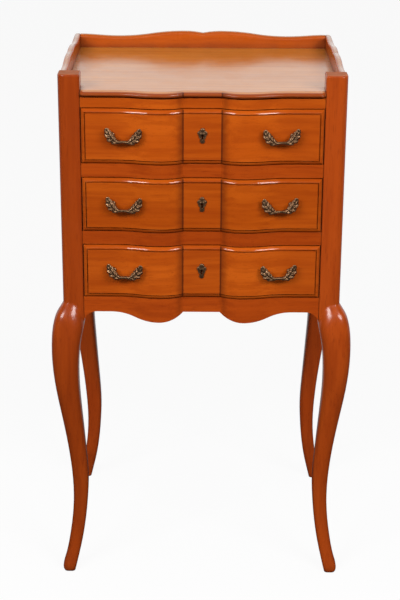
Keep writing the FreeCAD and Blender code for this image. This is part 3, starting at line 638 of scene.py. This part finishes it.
# The gallery's dark tone reaches far into its inner corners as painted shade, and its upward faces take a
# painted sheen.
GALLERY_CHERRY = Wood(
    pale=(0.50, 0.093, 0.0066), warm=(0.44, 0.076, 0.0053), dark=(0.355, 0.056, 0.0042),
    pore=(0.25, 0.034, 0.0029), worn=(0.66, 0.26, 0.09), dirt_and_shade=(0.050, 0.010, 0.004),
    roughness=0.25, haze=0.08, rub=0.45, specular=0.25, coat=0.35, level_coat=0.85, coat_roughness=0.14,
    level_sheen_tone=(0.52, 0.22, 0.085), dirt_and_shade_reach=26.0 * MM, dirt_and_shade_start=0.90, arris=2.0 * MM,
)
POST_CHERRY = Wood(
    pale=(0.37, 0.057, 0.0052), warm=(0.32, 0.045, 0.0039), dark=(0.25, 0.033, 0.0030),
    pore=(0.17, 0.020, 0.0023), worn=(0.50, 0.17, 0.05), dirt_and_shade=(0.035, 0.007, 0.003),
    roughness=0.18, haze=0.05, rub=0.35, specular=0.5, arris=4.0 * MM, bare_dull=0.6,
)
# Lighter copy of the post finish for the right post: painted light, for the stronger light from the right.
RIGHT_POST_CHERRY_PAINTED_LIGHT = replace(
    POST_CHERRY, pale=(0.44, 0.069, 0.0063), warm=(0.38, 0.055, 0.0047), dark=(0.30, 0.039, 0.0036),
)
# Lighter copy of the post finish for the rear legs: painted light on legs that stand in shade.
REAR_POST_CHERRY_PAINTED_LIGHT = replace(
    POST_CHERRY, pale=(0.485, 0.072, 0.0076), warm=(0.415, 0.058, 0.0056), dark=(0.33, 0.042, 0.0043),
)
# Rails and apron: the dark tone reaches under each drawer front as a painted shadow, and their creases carry
# painted shade.
RAIL_CHERRY = Wood(
    pale=(0.41, 0.064, 0.0048), warm=(0.35, 0.050, 0.0037), dark=(0.27, 0.035, 0.0030),
    pore=(0.19, 0.022, 0.0022), worn=(0.52, 0.18, 0.05), dirt_and_shade=(0.040, 0.008, 0.003),
    roughness=0.45, haze=0.10, rub=0.35, coat=0.9, crease=0.8,
    dirt_and_shade_reach=12.0 * MM, dirt_and_shade_start=0.93, dirt_and_shade_share=0.95,
)
APRON_CHERRY = replace(
    RAIL_CHERRY, pale=(0.45, 0.070, 0.0052), warm=(0.385, 0.055, 0.0041), dark=(0.30, 0.039, 0.0033),
)
# The top's level face is painted a pale tan that stands for the sheen of its varnish; the nosing takes the
# darker cherry side tone, and the dark tone paints shade along the top's joints.
TOP_CHERRY = Wood(
    pale=(0.77, 0.290, 0.041), warm=(0.695, 0.251, 0.036), dark=(0.565, 0.188, 0.026),
    pore=(0.41, 0.115, 0.014), worn=(0.58, 0.22, 0.07), dirt_and_shade=(0.045, 0.010, 0.004),
    roughness=0.20, haze=0.06, rub=0.35, specular=0.55, level_roughness=0.14,
    side_tone=(0.29, 0.054, 0.009), crease=0.8, dirt_and_shade_reach=12.0 * MM, dirt_and_shade_start=0.92, cup=0.0236,
)
BEECH = Wood(
    pale=(0.68, 0.47, 0.28), warm=(0.60, 0.38, 0.21), dark=(0.48, 0.28, 0.14),
    pore=(0.34, 0.18, 0.08), worn=(0.72, 0.55, 0.36), dirt_and_shade=(0.16, 0.08, 0.035),
    roughness=0.48, haze=0.14, rub=0.3, specular=0.5, figure_scale=0.8, streak_scale=1.4,
)
PLYWOOD = Wood(
    pale=(0.56, 0.35, 0.18), warm=(0.48, 0.28, 0.13), dark=(0.36, 0.19, 0.08),
    pore=(0.25, 0.12, 0.05), worn=(0.62, 0.42, 0.25), dirt_and_shade=(0.12, 0.06, 0.025),
    roughness=0.55, haze=0.14, rub=0.2, specular=0.5, figure_scale=0.55, streak_scale=0.7,
)


@dataclass(frozen=True)
class Metal:
    """A metal finish: the bare metal, its dark patina, a tint in patches, and its gloss."""

    bare: Colour
    patina: Colour
    tint: Colour
    roughness: float
    haze: float
    dirt_and_shade_reach: float
    dirt_and_shade_start: float = 0.96
    patch_stretch: Triple = (6.0, 6.0, 6.0)
    arris: float = 0.2 * MM
    rub_reach: float = 0.9 * MM
    tint_share: float = 0.6
    rub: float = 0.8
    metallic: Pair = (0.85, 0.4)

    def make(self, name: str) -> bpy.types.Material:
        """Make the finish as a material.

        Args:
            name: name of the material.

        Returns:
            The material.
        """
        material, sheet = new_material(name)
        coords = sheet.vector("MULTIPLY", sheet.node("TexCoord").outputs["Object"], self.patch_stretch)
        mottle = Mottle().place(sheet, Vector=coords)
        edge = EdgeWear().place(sheet, Vector=coords, Round=self.arris, Rub=self.rub_reach)
        crevice = Crevice().place(sheet, Vector=coords, Distance=self.dirt_and_shade_reach, Start=self.dirt_and_shade_start)
        dirt_and_shade = crevice["DirtAndShade"]
        colour = sheet.lay(self.bare, self.tint, mottle["Tone"], self.tint_share)
        colour = sheet.lay(colour, self.bare, edge["Rubbed"], self.rub)
        dull = sheet.math("MULTIPLY", mottle["Haze"], self.haze)
        sheet.close(sheet.node("BsdfPrincipled", {
            "Base Color": sheet.mix(dirt_and_shade, colour, self.patina),
            "Roughness": sheet.math("ADD", dull, self.roughness),
            "Metallic": sheet.step(dirt_and_shade, (0.0, 1.0), self.metallic),
            "Normal": edge["Normal"],
        }))
        return material


ANTIQUE_BRASS = Metal(
    bare=(0.262, 0.145, 0.074), patina=(0.019, 0.0058, 0.0025), tint=(0.117, 0.053, 0.023),
    roughness=0.34, haze=0.16, dirt_and_shade_reach=4.5 * MM,
)
SCREW_STEEL = Metal(
    bare=(0.50, 0.48, 0.45), patina=(0.07, 0.06, 0.05), tint=(0.36, 0.34, 0.31),
    roughness=0.30, haze=0.20, dirt_and_shade_reach=2.0 * MM,
)


def dress(name: str, material: bpy.types.Material) -> None:
    """Give a CAD node its one material, and report it.

    Args:
        name: name of the node.
        material: its finish.
    """
    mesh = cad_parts[name].data
    mesh.materials.clear()
    mesh.materials.append(material)
    log.info("%s dressed in %s", name, material.name)


def lay_bands(bm: bmesh.types.BMesh, rows: list[list[bmesh.types.BMVert]]) -> None:
    """Join each ring of vertices to the next with a band of faces.

    Args:
        bm: mesh that has the vertices.
        rows: equal rings, in order.
    """
    for lower, upper in zip(rows, rows[1:]):
        for index in range(len(lower)):
            following = (index + 1) % len(lower)
            bm.faces.new((lower[index], lower[following], upper[following], upper[index]))


def skin(bm: bmesh.types.BMesh, rings: Rings) -> None:
    """Close a run of equal rings into a solid with capped ends.

    Args:
        bm: mesh that takes the solid.
        rings: closed rings of points, in order.
    """
    rows = [[bm.verts.new(spot) for spot in ring] for ring in rings]
    lay_bands(bm, rows)
    bm.faces.new(list(reversed(rows[0])))
    bm.faces.new(rows[-1])


def round_ring(centre: Vector, side: Vector, up: Vector, radius: float, count: int) -> list[Vector]:
    """Points of a circle about a centre, in the plane of two unit vectors."""
    turns = [2 * math.pi * index / count for index in range(count)]
    return [centre + side * (radius * math.cos(turn)) + up * (radius * math.sin(turn)) for turn in turns]


@dataclass
class PullCasting:
    """Cast pull: two acanthus leaves on bosses, joined by a low grip bar.

    Its own frame has its middle on the drawer's face, x across, z up and the front towards -y. Root, middle,
    tip and boss are places across and up. Pairs of leaf sizes are at its root and its tip. A profile has
    places along an axis and radii; the knuckle's is scaled so that its greatest radius is the knuckle's.
    """

    root: Pair = (7.5 * MM, -8.6 * MM)
    middle: Pair = (17.4 * MM, -2.6 * MM)
    tip: Pair = (22.8 * MM, 10.4 * MM)
    out: Pair = (10.5 * MM, 7.0 * MM)
    half_height: Pair = (3.4 * MM, 3.9 * MM)
    half_depth: Pair = (2.6 * MM, 1.6 * MM)
    height_swell: float = 2.9 * MM
    depth_swell: float = 0.9 * MM
    swell_rate: float = 1.08
    curl: float = 1.8 * MM
    curl_start: float = 0.7
    blunt_start: float = 0.84
    blunt_least: float = 0.03
    lobes: float = 4.0
    lobe_share: float = 0.22
    lobe_stagger: float = 0.25
    lobe_power: float = 0.7
    vein_depth: float = 1.25 * MM
    vein_slant: float = 0.8
    vein_ends: Pair = (0.35, 1.0)
    midrib_width: float = 0.16
    bar_radius: float = 2.3 * MM
    bar_rise: float = 0.6 * MM
    bar_waist: float = 0.88
    bar_flare: float = 0.2
    bar_steps: int = 12
    knuckle_radius: float = 2.6 * MM
    knuckle_tilt: float = 0.28
    knuckle_profile: tuple[Pair, ...] = (
        (-3.4, 1.9), (-3.0, 2.5), (-2.3, 2.6), (-2.0, 2.0), (-1.4, 2.4), (0.0, 3.1), (1.4, 2.7), (2.2, 1.2),
    )
    boss_at: Pair = (17.0 * MM, -1.5 * MM)
    boss_profile: tuple[Pair, ...] = (
        (-3.0 * MM, 4.2 * MM), (1.0 * MM, 4.2 * MM), (1.8 * MM, 2.7 * MM), (5.25 * MM, 2.55 * MM),
        (8.75 * MM, 3.0 * MM),
    )
    turned_points: int = 20
    ring_points: int = 32
    steps: int = 44
    voxel: float = 0.36 * MM
    polish_share: float = 0.5
    polish_passes: int = 2

    def spine(self, share: float) -> Vector:
        """Find a point on a leaf's spine: a parabola through root, middle and tip, curling out at the tip.

        Args:
            share: place along the spine, from root to tip.

        Returns:
            The point.
        """
        weights = ((1 - share) * (1 - 2 * share), 4 * share * (1 - share), share * (2 * share - 1))
        spots = zip(self.root, self.middle, self.tip)
        across, up = (sum(weight * at for weight, at in zip(weights, places)) for places in spots)
        late = max(0.0, share - self.curl_start) / (1 - self.curl_start)
        return Vector((across, -blend_values(*self.out, share) - self.curl * late * late, up))

    def leaf_ring(self, share: float) -> list[Vector]:
        """Draw a cross-section of the right leaf: lobed at its edges, veined and grooved on its front.

        Args:
            share: place along the spine, from root to tip.

        Returns:
            The ring's points.
        """
        small = 0.5 / self.steps
        along = (self.spine(share + small) - self.spine(share - small)).normalized()
        beside = along.cross(-Y_AXIS).normalized()
        outward = beside.cross(along).normalized()
        rise = math.sin(math.pi * min(1.0, share * self.swell_rate))
        late = max(0.0, share - self.blunt_start) / (1 - self.blunt_start)
        blunt = math.sqrt(max(self.blunt_least, 1.0 - late ** 2))
        height = (blend_values(*self.half_height, share) + self.height_swell * rise) * blunt
        depth = (blend_values(*self.half_depth, share) + self.depth_swell * rise) * blunt
        carving = self.vein_depth * math.sqrt(max(0.0, rise))
        ring = []
        for index in range(self.ring_points):
            turn = 2 * math.pi * index / self.ring_points
            sideways, front = math.cos(turn), math.sin(turn)
            aside = abs(sideways)
            phase = self.lobes * share + (self.lobe_stagger if sideways > 0 else 0.0)
            lobe = 1.0 - self.lobe_share * (1.0 - abs(math.cos(math.pi * phase)) ** self.lobe_power) * aside
            lift = depth * front
            if front > 0:
                vein = math.cos(2 * math.pi * (self.lobes * share - self.vein_slant * aside))
                lift += carving * vein * front * blend_values(*self.vein_ends, aside)
                lift -= carving * math.exp(-(sideways / self.midrib_width) ** 2)
            ring.append(self.spine(share) + beside * (height * lobe * sideways) + outward * lift)
        return ring

    def leaf(self) -> Rings:
        """Rings of the right leaf."""
        return [self.leaf_ring(step / self.steps) for step in range(self.steps + 1)]

    def turned(self, centre: Vector, along: Vector, side: Vector, profile: tuple[Pair, ...]) -> Rings:
        """Rings of a piece turned about an axis, from places along it and radii."""
        up = along.cross(side)
        return [round_ring(centre + along * at, side, up, size, self.turned_points) for at, size in profile]

    def knuckle(self) -> Rings:
        """Turn the right knuckle, a bead with a thin collar, between leaf and bar.

        Returns:
            Its rings.
        """
        centre = Vector((self.root[0], -self.out[0], self.root[1]))
        along = (X_AXIS + Z_AXIS * self.knuckle_tilt).normalized()
        scale = self.knuckle_radius / max(radius for _, radius in self.knuckle_profile)
        profile = tuple((at * scale, radius * scale) for at, radius in self.knuckle_profile)
        return self.turned(centre, along, Y_AXIS, profile)

    def boss(self) -> Rings:
        """Rings of the right boss, a turned post from inside the drawer's face to the leaf's back."""
        across, up = self.boss_at
        return self.turned(Vector((across, 0.0, up)), -Y_AXIS, X_AXIS, self.boss_profile)

    def bar(self) -> Rings:
        """Shape the grip bar, a little thinner and higher in its middle.

        Returns:
            Its rings.
        """
        half, low = self.root
        rings = []
        for step in range(self.bar_steps + 1):
            share = 2 * step / self.bar_steps - 1
            centre = Vector((half * share, -self.out[0], low + self.bar_rise * (1 - share * share)))
            radius = self.bar_radius * (self.bar_waist + self.bar_flare * share * share)
            rings.append(round_ring(centre, Y_AXIS, Z_AXIS, radius, self.turned_points))
        return rings

    def mesh(self) -> bpy.types.Mesh:
        """Make the pull as one mesh: its pieces run together as in a casting.

        Returns:
            The mesh, in the pull's own frame.
        """
        bm = bmesh.new()
        for rings in (self.leaf(), self.knuckle(), self.boss()):
            skin(bm, rings)
        mirrored = bmesh.ops.duplicate(bm, geom=bm.verts[:] + bm.edges[:] + bm.faces[:])
        for item in mirrored["geom"]:
            if isinstance(item, bmesh.types.BMVert):
                item.co.x = -item.co.x
        skin(bm, self.bar())
        bmesh.ops.recalc_face_normals(bm, faces=bm.faces)
        rough = bpy.data.meshes.new("pull_pattern")
        bm.to_mesh(rough)
        bm.free()
        return self.cast(rough)

    def cast(self, rough: bpy.types.Mesh) -> bpy.types.Mesh:
        """Run overlapping solids together into one smooth skin.

        Args:
            rough: mesh of overlapping closed solids.

        Returns:
            The cast mesh.
        """
        pattern = add_object("pull_pattern", rough)
        melt = pattern.modifiers.new("melt", "REMESH")
        melt.mode = "VOXEL"
        melt.voxel_size = self.voxel
        melt.use_smooth_shade = True
        polish = pattern.modifiers.new("polish", "SMOOTH")
        polish.factor = self.polish_share
        polish.iterations = self.polish_passes
        shown = pattern.evaluated_get(bpy.context.evaluated_depsgraph_get())
        cast = bpy.data.meshes.new_from_object(shown)
        cast.name = "pull_casting"
        bpy.data.objects.remove(pattern)
        return cast


@dataclass
class KeyPlateCasting:
    """Cast plate round a keyhole: overlapping lobes with beads, a raised rim and the hole.

    A disc is a place across and up from the keyhole's eye, and a radius. The profile has shares of the way
    from the keyhole to the outline, and heights.
    """

    discs: tuple[Triple, ...] = (
        (0.0, 0.0, 5.2 * MM), (0.0, 7.4 * MM, 3.4 * MM), (0.0, -7.6 * MM, 3.4 * MM),
        (3.4 * MM, 3.4 * MM, 3.3 * MM), (-3.4 * MM, 3.4 * MM, 3.3 * MM),
    )
    eye_radius: float = 1.6 * MM
    slot_half: float = 0.9 * MM
    slot_length: float = 5.0 * MM
    bead_height: float = 0.9 * MM
    bead_width: float = 1.7 * MM
    profile: tuple[Pair, ...] = (
        (0.0, 0.0), (0.0, 1.3 * MM), (0.08, 1.7 * MM), (0.20, 1.75 * MM), (0.32, 1.2 * MM),
        (0.50, 1.05 * MM), (0.70, 1.15 * MM), (0.84, 1.5 * MM), (0.93, 1.35 * MM), (0.985, 0.7 * MM),
        (1.0, 0.0),
    )
    spokes: int = 96

    def outline(self, turn: float) -> float:
        """Measure how far the plate reaches from its keyhole.

        Args:
            turn: angle from the x axis.

        Returns:
            The reach of the discs together.
        """
        across, up = math.cos(turn), math.sin(turn)
        reach = 0.0
        for x, z, radius in self.discs:
            along = across * x + up * z
            inside = radius * radius - x * x - z * z + along * along
            if inside > 0:
                reach = max(reach, along + math.sqrt(inside))
        return reach

    def keyhole(self, turn: float) -> float:
        """Measure how far the keyhole reaches from its eye.

        Args:
            turn: angle from the x axis.

        Returns:
            The reach of the eye, or of the slot below it.
        """
        across, up = abs(math.cos(turn)), math.sin(turn)
        if up >= 0:
            return self.eye_radius
        slot = min(self.slot_half / max(across, TINY), self.slot_length / -up)
        return max(self.eye_radius, slot)

    def height(self, x: float, z: float, level: float) -> float:
        """Work out the height of the front at a place: its profile and a bead on each outer lobe.

        Args:
            x: place across.
            z: place up.
            level: height of the profile there.

        Returns:
            The height, which is 0 on the back.
        """
        if level <= 0:
            return 0.0
        for at_x, at_z, _ in self.discs[1:]:
            away = ((x - at_x) ** 2 + (z - at_z) ** 2) / self.bead_width ** 2
            level += self.bead_height * math.exp(-away)
        return level

    def mesh(self) -> bpy.types.Mesh:
        """Make the plate as a closed mesh.

        Returns:
            The mesh, with its keyhole's eye at the origin and its back at y = 0.
        """
        bm = bmesh.new()
        rows = []
        for share, level in self.profile:
            row = []
            for spoke in range(self.spokes):
                turn = 2 * math.pi * spoke / self.spokes
                reach = blend_values(self.keyhole(turn), self.outline(turn), share)
                x, z = reach * math.cos(turn), reach * math.sin(turn)
                row.append(bm.verts.new((x, -self.height(x, z, level), z)))
            rows.append(row)
        lay_bands(bm, rows + rows[:1])
        bmesh.ops.recalc_face_normals(bm, faces=bm.faces)
        for face in bm.faces:
            face.smooth = True
        mesh = bpy.data.meshes.new("key_plate_casting")
        bm.to_mesh(mesh)
        bm.free()
        return mesh


@dataclass
class Drawer:
    """One drawer: its boards' finishes, and the cast pulls and key plate that stand for the plain solids."""

    name: str
    number: int
    wood: Wood
    pull_mesh: bpy.types.Mesh
    plate_mesh: bpy.types.Mesh
    steel: bpy.types.Material
    pull_at: float = 105.6 * MM
    pull_lift: float = 4.0 * MM
    boss_at: float = 17.0 * MM
    plate_rise: float = 10.8 * MM
    face_rise: float = 9.0 * MM
    ahead: float = 1.0
    log_start: float = 3.0
    log_step: Pair = (1.7, 0.31)
    side_log: Pair = (0.2, 0.1)
    back_log: Pair = (0.5, 0.3)
    bottom_log: Pair = (0.0, 0.6)

    @property
    def body(self) -> str:
        """Name of the CAD body."""
        return self.name + "_drawer"

    def face(self, x: float, z: float) -> Vector:
        """Find the drawer's front face by a ray from the front.

        Args:
            x: place across.
            z: place up.

        Returns:
            The point on the face.
        """
        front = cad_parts[self.body + "_front"]
        found, spot, _, _ = front.ray_cast(Vector((x, -self.ahead, z)), Y_AXIS)
        if not found:
            raise ValueError(f"the front of {self.body} has no face at {x:.3f}, {z:.3f}")
        return spot

    def dress_boards(self) -> None:
        """Finish the boards and the screws."""
        along, across = (step * self.number for step in self.log_step)
        start = self.log_start + along
        boards = (
            ("cherry", self.wood, Grain.ACROSS, (across, 0.0), ("front",)),
            ("side_beech", BEECH, Grain.DEEP, self.side_log, ("left_side", "right_side")),
            ("back_beech", BEECH, Grain.ACROSS, self.back_log, ("back",)),
            ("bottom_plywood", PLYWOOD, Grain.ACROSS, self.bottom_log, ("bottom",)),
        )
        for finish, wood, grain, sawn_at, pieces in boards:
            material = wood.make(f"{self.body}_{finish}", grain, (start, *sawn_at))
            for piece in pieces:
                dress(f"{self.body}_{piece}", material)
        dress(self.body + "_pull_screws", self.steel)

    def add(self, name: str, mesh: bpy.types.Mesh, place: Matrix, node: str) -> None:
        """Set a casting in place of a CAD node.

        Args:
            name: name of the new piece.
            mesh: its mesh.
            place: where it goes.
            node: the drawer's node that it stands for.
        """
        piece = add_object(name, mesh)
        piece.matrix_world = place
        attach(piece, self.body)
        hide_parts(self.body + "_" + node)
        log.info("%s rides on %s", name, self.body)

    def hang_pulls(self) -> None:
        """Set the two pulls square to the drawer's face."""
        low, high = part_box(self.body + "_front")
        level = (low.z + high.z) / 2 + self.pull_lift
        for side, sign in SIDES.items():
            near = self.face(sign * (self.pull_at - self.boss_at), level + self.face_rise)
            far = self.face(sign * (self.pull_at + self.boss_at), level + self.face_rise)
            slope = math.atan2(far.y - near.y, 2 * self.boss_at)
            spot = Vector((sign * self.pull_at, (near.y + far.y) / 2, level))
            place = Matrix.Translation(spot) @ Matrix.Rotation(sign * slope, 4, "Z")
            self.add(f"{self.name}_{side}_pull_casting", self.pull_mesh, place, side + "_pull")

    def fix_plate(self) -> None:
        """Set the key plate over the keyhole."""
        low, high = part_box(self.body + "_key_plate")
        spot = Vector(((low.x + high.x) / 2, high.y, high.z - self.plate_rise))
        self.add(f"{self.name}_key_plate_casting", self.plate_mesh, Matrix.Translation(spot), "key_plate")

    def build(self) -> None:
        """Dress the drawer and add its castings."""
        self.dress_boards()
        self.hang_pulls()
        self.fix_plate()


@dataclass(frozen=True)
class Board:
    """A board of the case: its CAD node, its finish, the way of its grain and its number in the log."""

    node: str
    wood: Wood
    grain: Grain
    number: int = 0


@dataclass
class Case:
    """The fixed case: posts with legs, boards, rails, top and what is hidden inside."""

    boards: tuple[Board, ...] = (
        Board("front_left_leg", POST_CHERRY, Grain.UPRIGHT),
        Board("front_right_leg", RIGHT_POST_CHERRY_PAINTED_LIGHT, Grain.UPRIGHT),
        Board("rear_left_leg", REAR_POST_CHERRY_PAINTED_LIGHT, Grain.UPRIGHT),
        Board("rear_right_leg", REAR_POST_CHERRY_PAINTED_LIGHT, Grain.UPRIGHT, 1),
        Board("left_side_board", GALLERY_CHERRY, Grain.DEEP),
        Board("right_side_board", GALLERY_CHERRY, Grain.DEEP, 1),
        Board("back_gallery", GALLERY_CHERRY, Grain.ACROSS, 2),
        Board("top_board", TOP_CHERRY, Grain.ACROSS),
        Board("frieze_rail", FRIEZE_CHERRY, Grain.ACROSS),
        Board("upper_rail", RAIL_CHERRY, Grain.ACROSS),
        Board("lower_rail", RAIL_CHERRY, Grain.ACROSS, 1),
        Board("front_apron", APRON_CHERRY, Grain.ACROSS),
        Board("left_kicker", BEECH, Grain.DEEP),
        Board("right_kicker", BEECH, Grain.DEEP, 1),
        Board("drawer_stops", BEECH, Grain.ACROSS, 2),
        Board("glue_blocks", BEECH, Grain.ACROSS, 3),
        Board("back_rail", BEECH, Grain.ACROSS, 4),
    )
    log_step: Triple = (0.9, 0.37, 0.21)
    runner_log: Triple = (0.4, 0.8, 0.2)
    panel_log: Triple = (1.3, 0.2, 0.0)

    def build(self, steel: bpy.types.Material) -> None:
        """Dress every board of the case.

        Args:
            steel: finish of the screws.
        """
        for board in self.boards:
            sawn_at = tuple(step * board.number for step in self.log_step)
            dress(board.node, board.wood.make(board.node + "_finish", board.grain, sawn_at))
        runner = BEECH.make("runner_beech", Grain.DEEP, self.runner_log)
        for drawer in DRAWER_NAMES:
            for side in SIDES:
                dress(f"{drawer}_{side}_runner", runner)
        dress("back_panel", PLYWOOD.make("back_panel_plywood", Grain.UPRIGHT, self.panel_log))
        dress("runner_screws", steel)


@dataclass(frozen=True)
class PhotoCamera:
    """Camera that took the photograph, fitted to the stand's edges. Angles are in radians."""

    place: Triple = (-0.00199, -2.18444, 1.19079)
    pitch: float = 0.357563
    roll: float = 0.006093
    focal_pixels: float = 1542.547
    frame_height: float = 600.0
    sensor: float = 36.0

    def build(self) -> None:
        """Make the camera and put it in charge of the scene."""
        data = bpy.data.cameras.new("photo_camera")
        data.sensor_width = self.sensor
        data.lens = self.focal_pixels * self.sensor / self.frame_height
        camera = add_object("photo_camera", data)
        turn = Matrix.Rotation(math.pi / 2 - self.pitch, 4, "X") @ Matrix.Rotation(self.roll, 4, "Z")
        camera.matrix_world = Matrix.Translation(self.place) @ turn
        bpy.context.scene.camera = camera
        log.info("camera at %s", tuple(round(value, 3) for value in self.place))


@dataclass(frozen=True)
class Lamp:
    """A soft box: where it stands, its size and power, whether gloss mirrors it, and where it points."""

    name: str
    place: Triple
    size: Pair
    power: float
    mirrored: bool = True
    aim: Triple = (0.0, 0.0, 0.5)

    def build(self) -> None:
        """Make the lamp."""
        data = bpy.data.lights.new(self.name, "AREA")
        data.shape = "RECTANGLE"
        data.size, data.size_y = self.size
        data.energy = self.power
        lamp = add_object(self.name, data)
        turn = (Vector(self.aim) - Vector(self.place)).to_track_quat("-Z", "Y").to_matrix().to_4x4()
        lamp.matrix_world = Matrix.Translation(self.place) @ turn
        lamp.visible_glossy = self.mirrored
        log.info("lamp %s", self.name)


@dataclass
class Studio:
    """Plain white studio: soft boxes, a bright surround and a pale floor that keeps the shadow.

    Marks are where the dim front gives way to the bright back, as a heading's y or a place on the floor.
    """

    lamps: tuple[Lamp, ...] = (
        Lamp("front_fill", (0.0, -2.75, 2.2), (1.6, 0.9), 22.0, mirrored=False),
        Lamp("left_soft_box", (-1.3, -1.75, 1.75), (1.1, 0.6), 31.5),
        Lamp("right_soft_box", (1.3, -1.75, 1.75), (1.1, 0.6), 31.5),
    )
    ambient: float = 0.28
    surround_marks: Pair = (0.1, 0.6)
    surround_mirror: Pair = (0.015, 1.0)
    floor_radius: float = 7.0
    floor_segments: int = 96
    floor_glow: float = 0.92
    floor_marks: Pair = (0.1, 0.8)
    floor_mirror: Pair = (0.02, 0.4)
    floor_tone: float = 0.86
    floor_bounce: float = 0.10

    def build_world(self) -> None:
        """Surround: white to the camera, bright behind the stand and dimmer in front for reflections."""
        world = bpy.data.worlds.new("studio")
        bpy.context.scene.world = world
        world.use_nodes = True
        sheet = Sheet(world.node_tree)
        rays = sheet.node("LightPath").outputs
        heading = sheet.node("SeparateXYZ", {0: sheet.node("TexCoord").outputs["Generated"]}).outputs
        behind = sheet.step(heading["Y"], self.surround_marks, self.surround_mirror)
        mirrored = sheet.math("MAXIMUM", rays["Is Glossy Ray"], rays["Is Transmission Ray"])
        glossy = sheet.math("MULTIPLY", mirrored, behind)
        others = sheet.math("MULTIPLY", sheet.math("SUBTRACT", 1.0, mirrored), self.ambient)
        strength = sheet.math("MAXIMUM", rays["Is Camera Ray"], sheet.math("ADD", glossy, others))
        sheet.close(sheet.node("Background", {"Color": WHITE, "Strength": strength}), "OutputWorld")

    def floor_paper(self) -> bpy.types.Material:
        """Make the floor's paper, partly glowing to the camera so that it reads as white.

        Returns:
            The material, dim in front and brighter behind in reflections.
        """
        material, sheet = new_material("floor_paper")
        rays = sheet.node("LightPath").outputs
        seen = rays["Is Camera Ray"]
        mirrored = sheet.math("MAXIMUM", rays["Is Glossy Ray"], rays["Is Transmission Ray"])
        tone = sheet.math("MAXIMUM", sheet.math("MULTIPLY", seen, self.floor_tone), self.floor_bounce)
        paper = sheet.node("BsdfDiffuse", {"Color": tone})
        spot = sheet.node("SeparateXYZ", {0: sheet.node("TexCoord").outputs["Object"]}).outputs
        behind = sheet.step(spot["Y"], self.floor_marks, self.floor_mirror)
        glow = sheet.node("Emission", {"Color": WHITE, "Strength": sheet.math("MAXIMUM", seen, behind)})
        share = sheet.math("MAXIMUM", sheet.math("MULTIPLY", seen, self.floor_glow), mirrored)
        sheet.close(sheet.node("MixShader", {0: share, 1: paper.outputs[0], 2: glow.outputs[0]}))
        return material

    def build_floor(self) -> None:
        """Lay the round floor."""
        bm = bmesh.new()
        bmesh.ops.create_circle(bm, cap_ends=True, segments=self.floor_segments, radius=self.floor_radius)
        mesh = bpy.data.meshes.new("floor")
        bm.to_mesh(mesh)
        bm.free()
        mesh.materials.append(self.floor_paper())
        floor = add_object("floor", mesh)

    def build(self) -> None:
        """Set up the surround, the floor and the lamps."""
        bpy.context.scene.view_settings.view_transform = "Standard"
        self.build_world()
        self.build_floor()
        for lamp in self.lamps:
            lamp.build()


def main() -> None:
    """Build the studio, the case and the drawers in order."""
    logging.basicConfig(level=logging.INFO, format="%(name)s: %(message)s")
    PhotoCamera().build()
    Studio().build()
    brass = ANTIQUE_BRASS.make("antique_brass")
    steel = SCREW_STEEL.make("screw_steel")
    Case().build(steel)
    pull_mesh = PullCasting().mesh()
    plate_mesh = KeyPlateCasting().mesh()
    for mesh in (pull_mesh, plate_mesh):
        mesh.materials.clear()
        mesh.materials.append(brass)
    for number, name in enumerate(DRAWER_NAMES):
        wood = MIDDLE_CHERRY if name == "middle" else CHERRY
        Drawer(name, number, wood, pull_mesh, plate_mesh, steel).build()


if __name__ == "__main__":
    main()
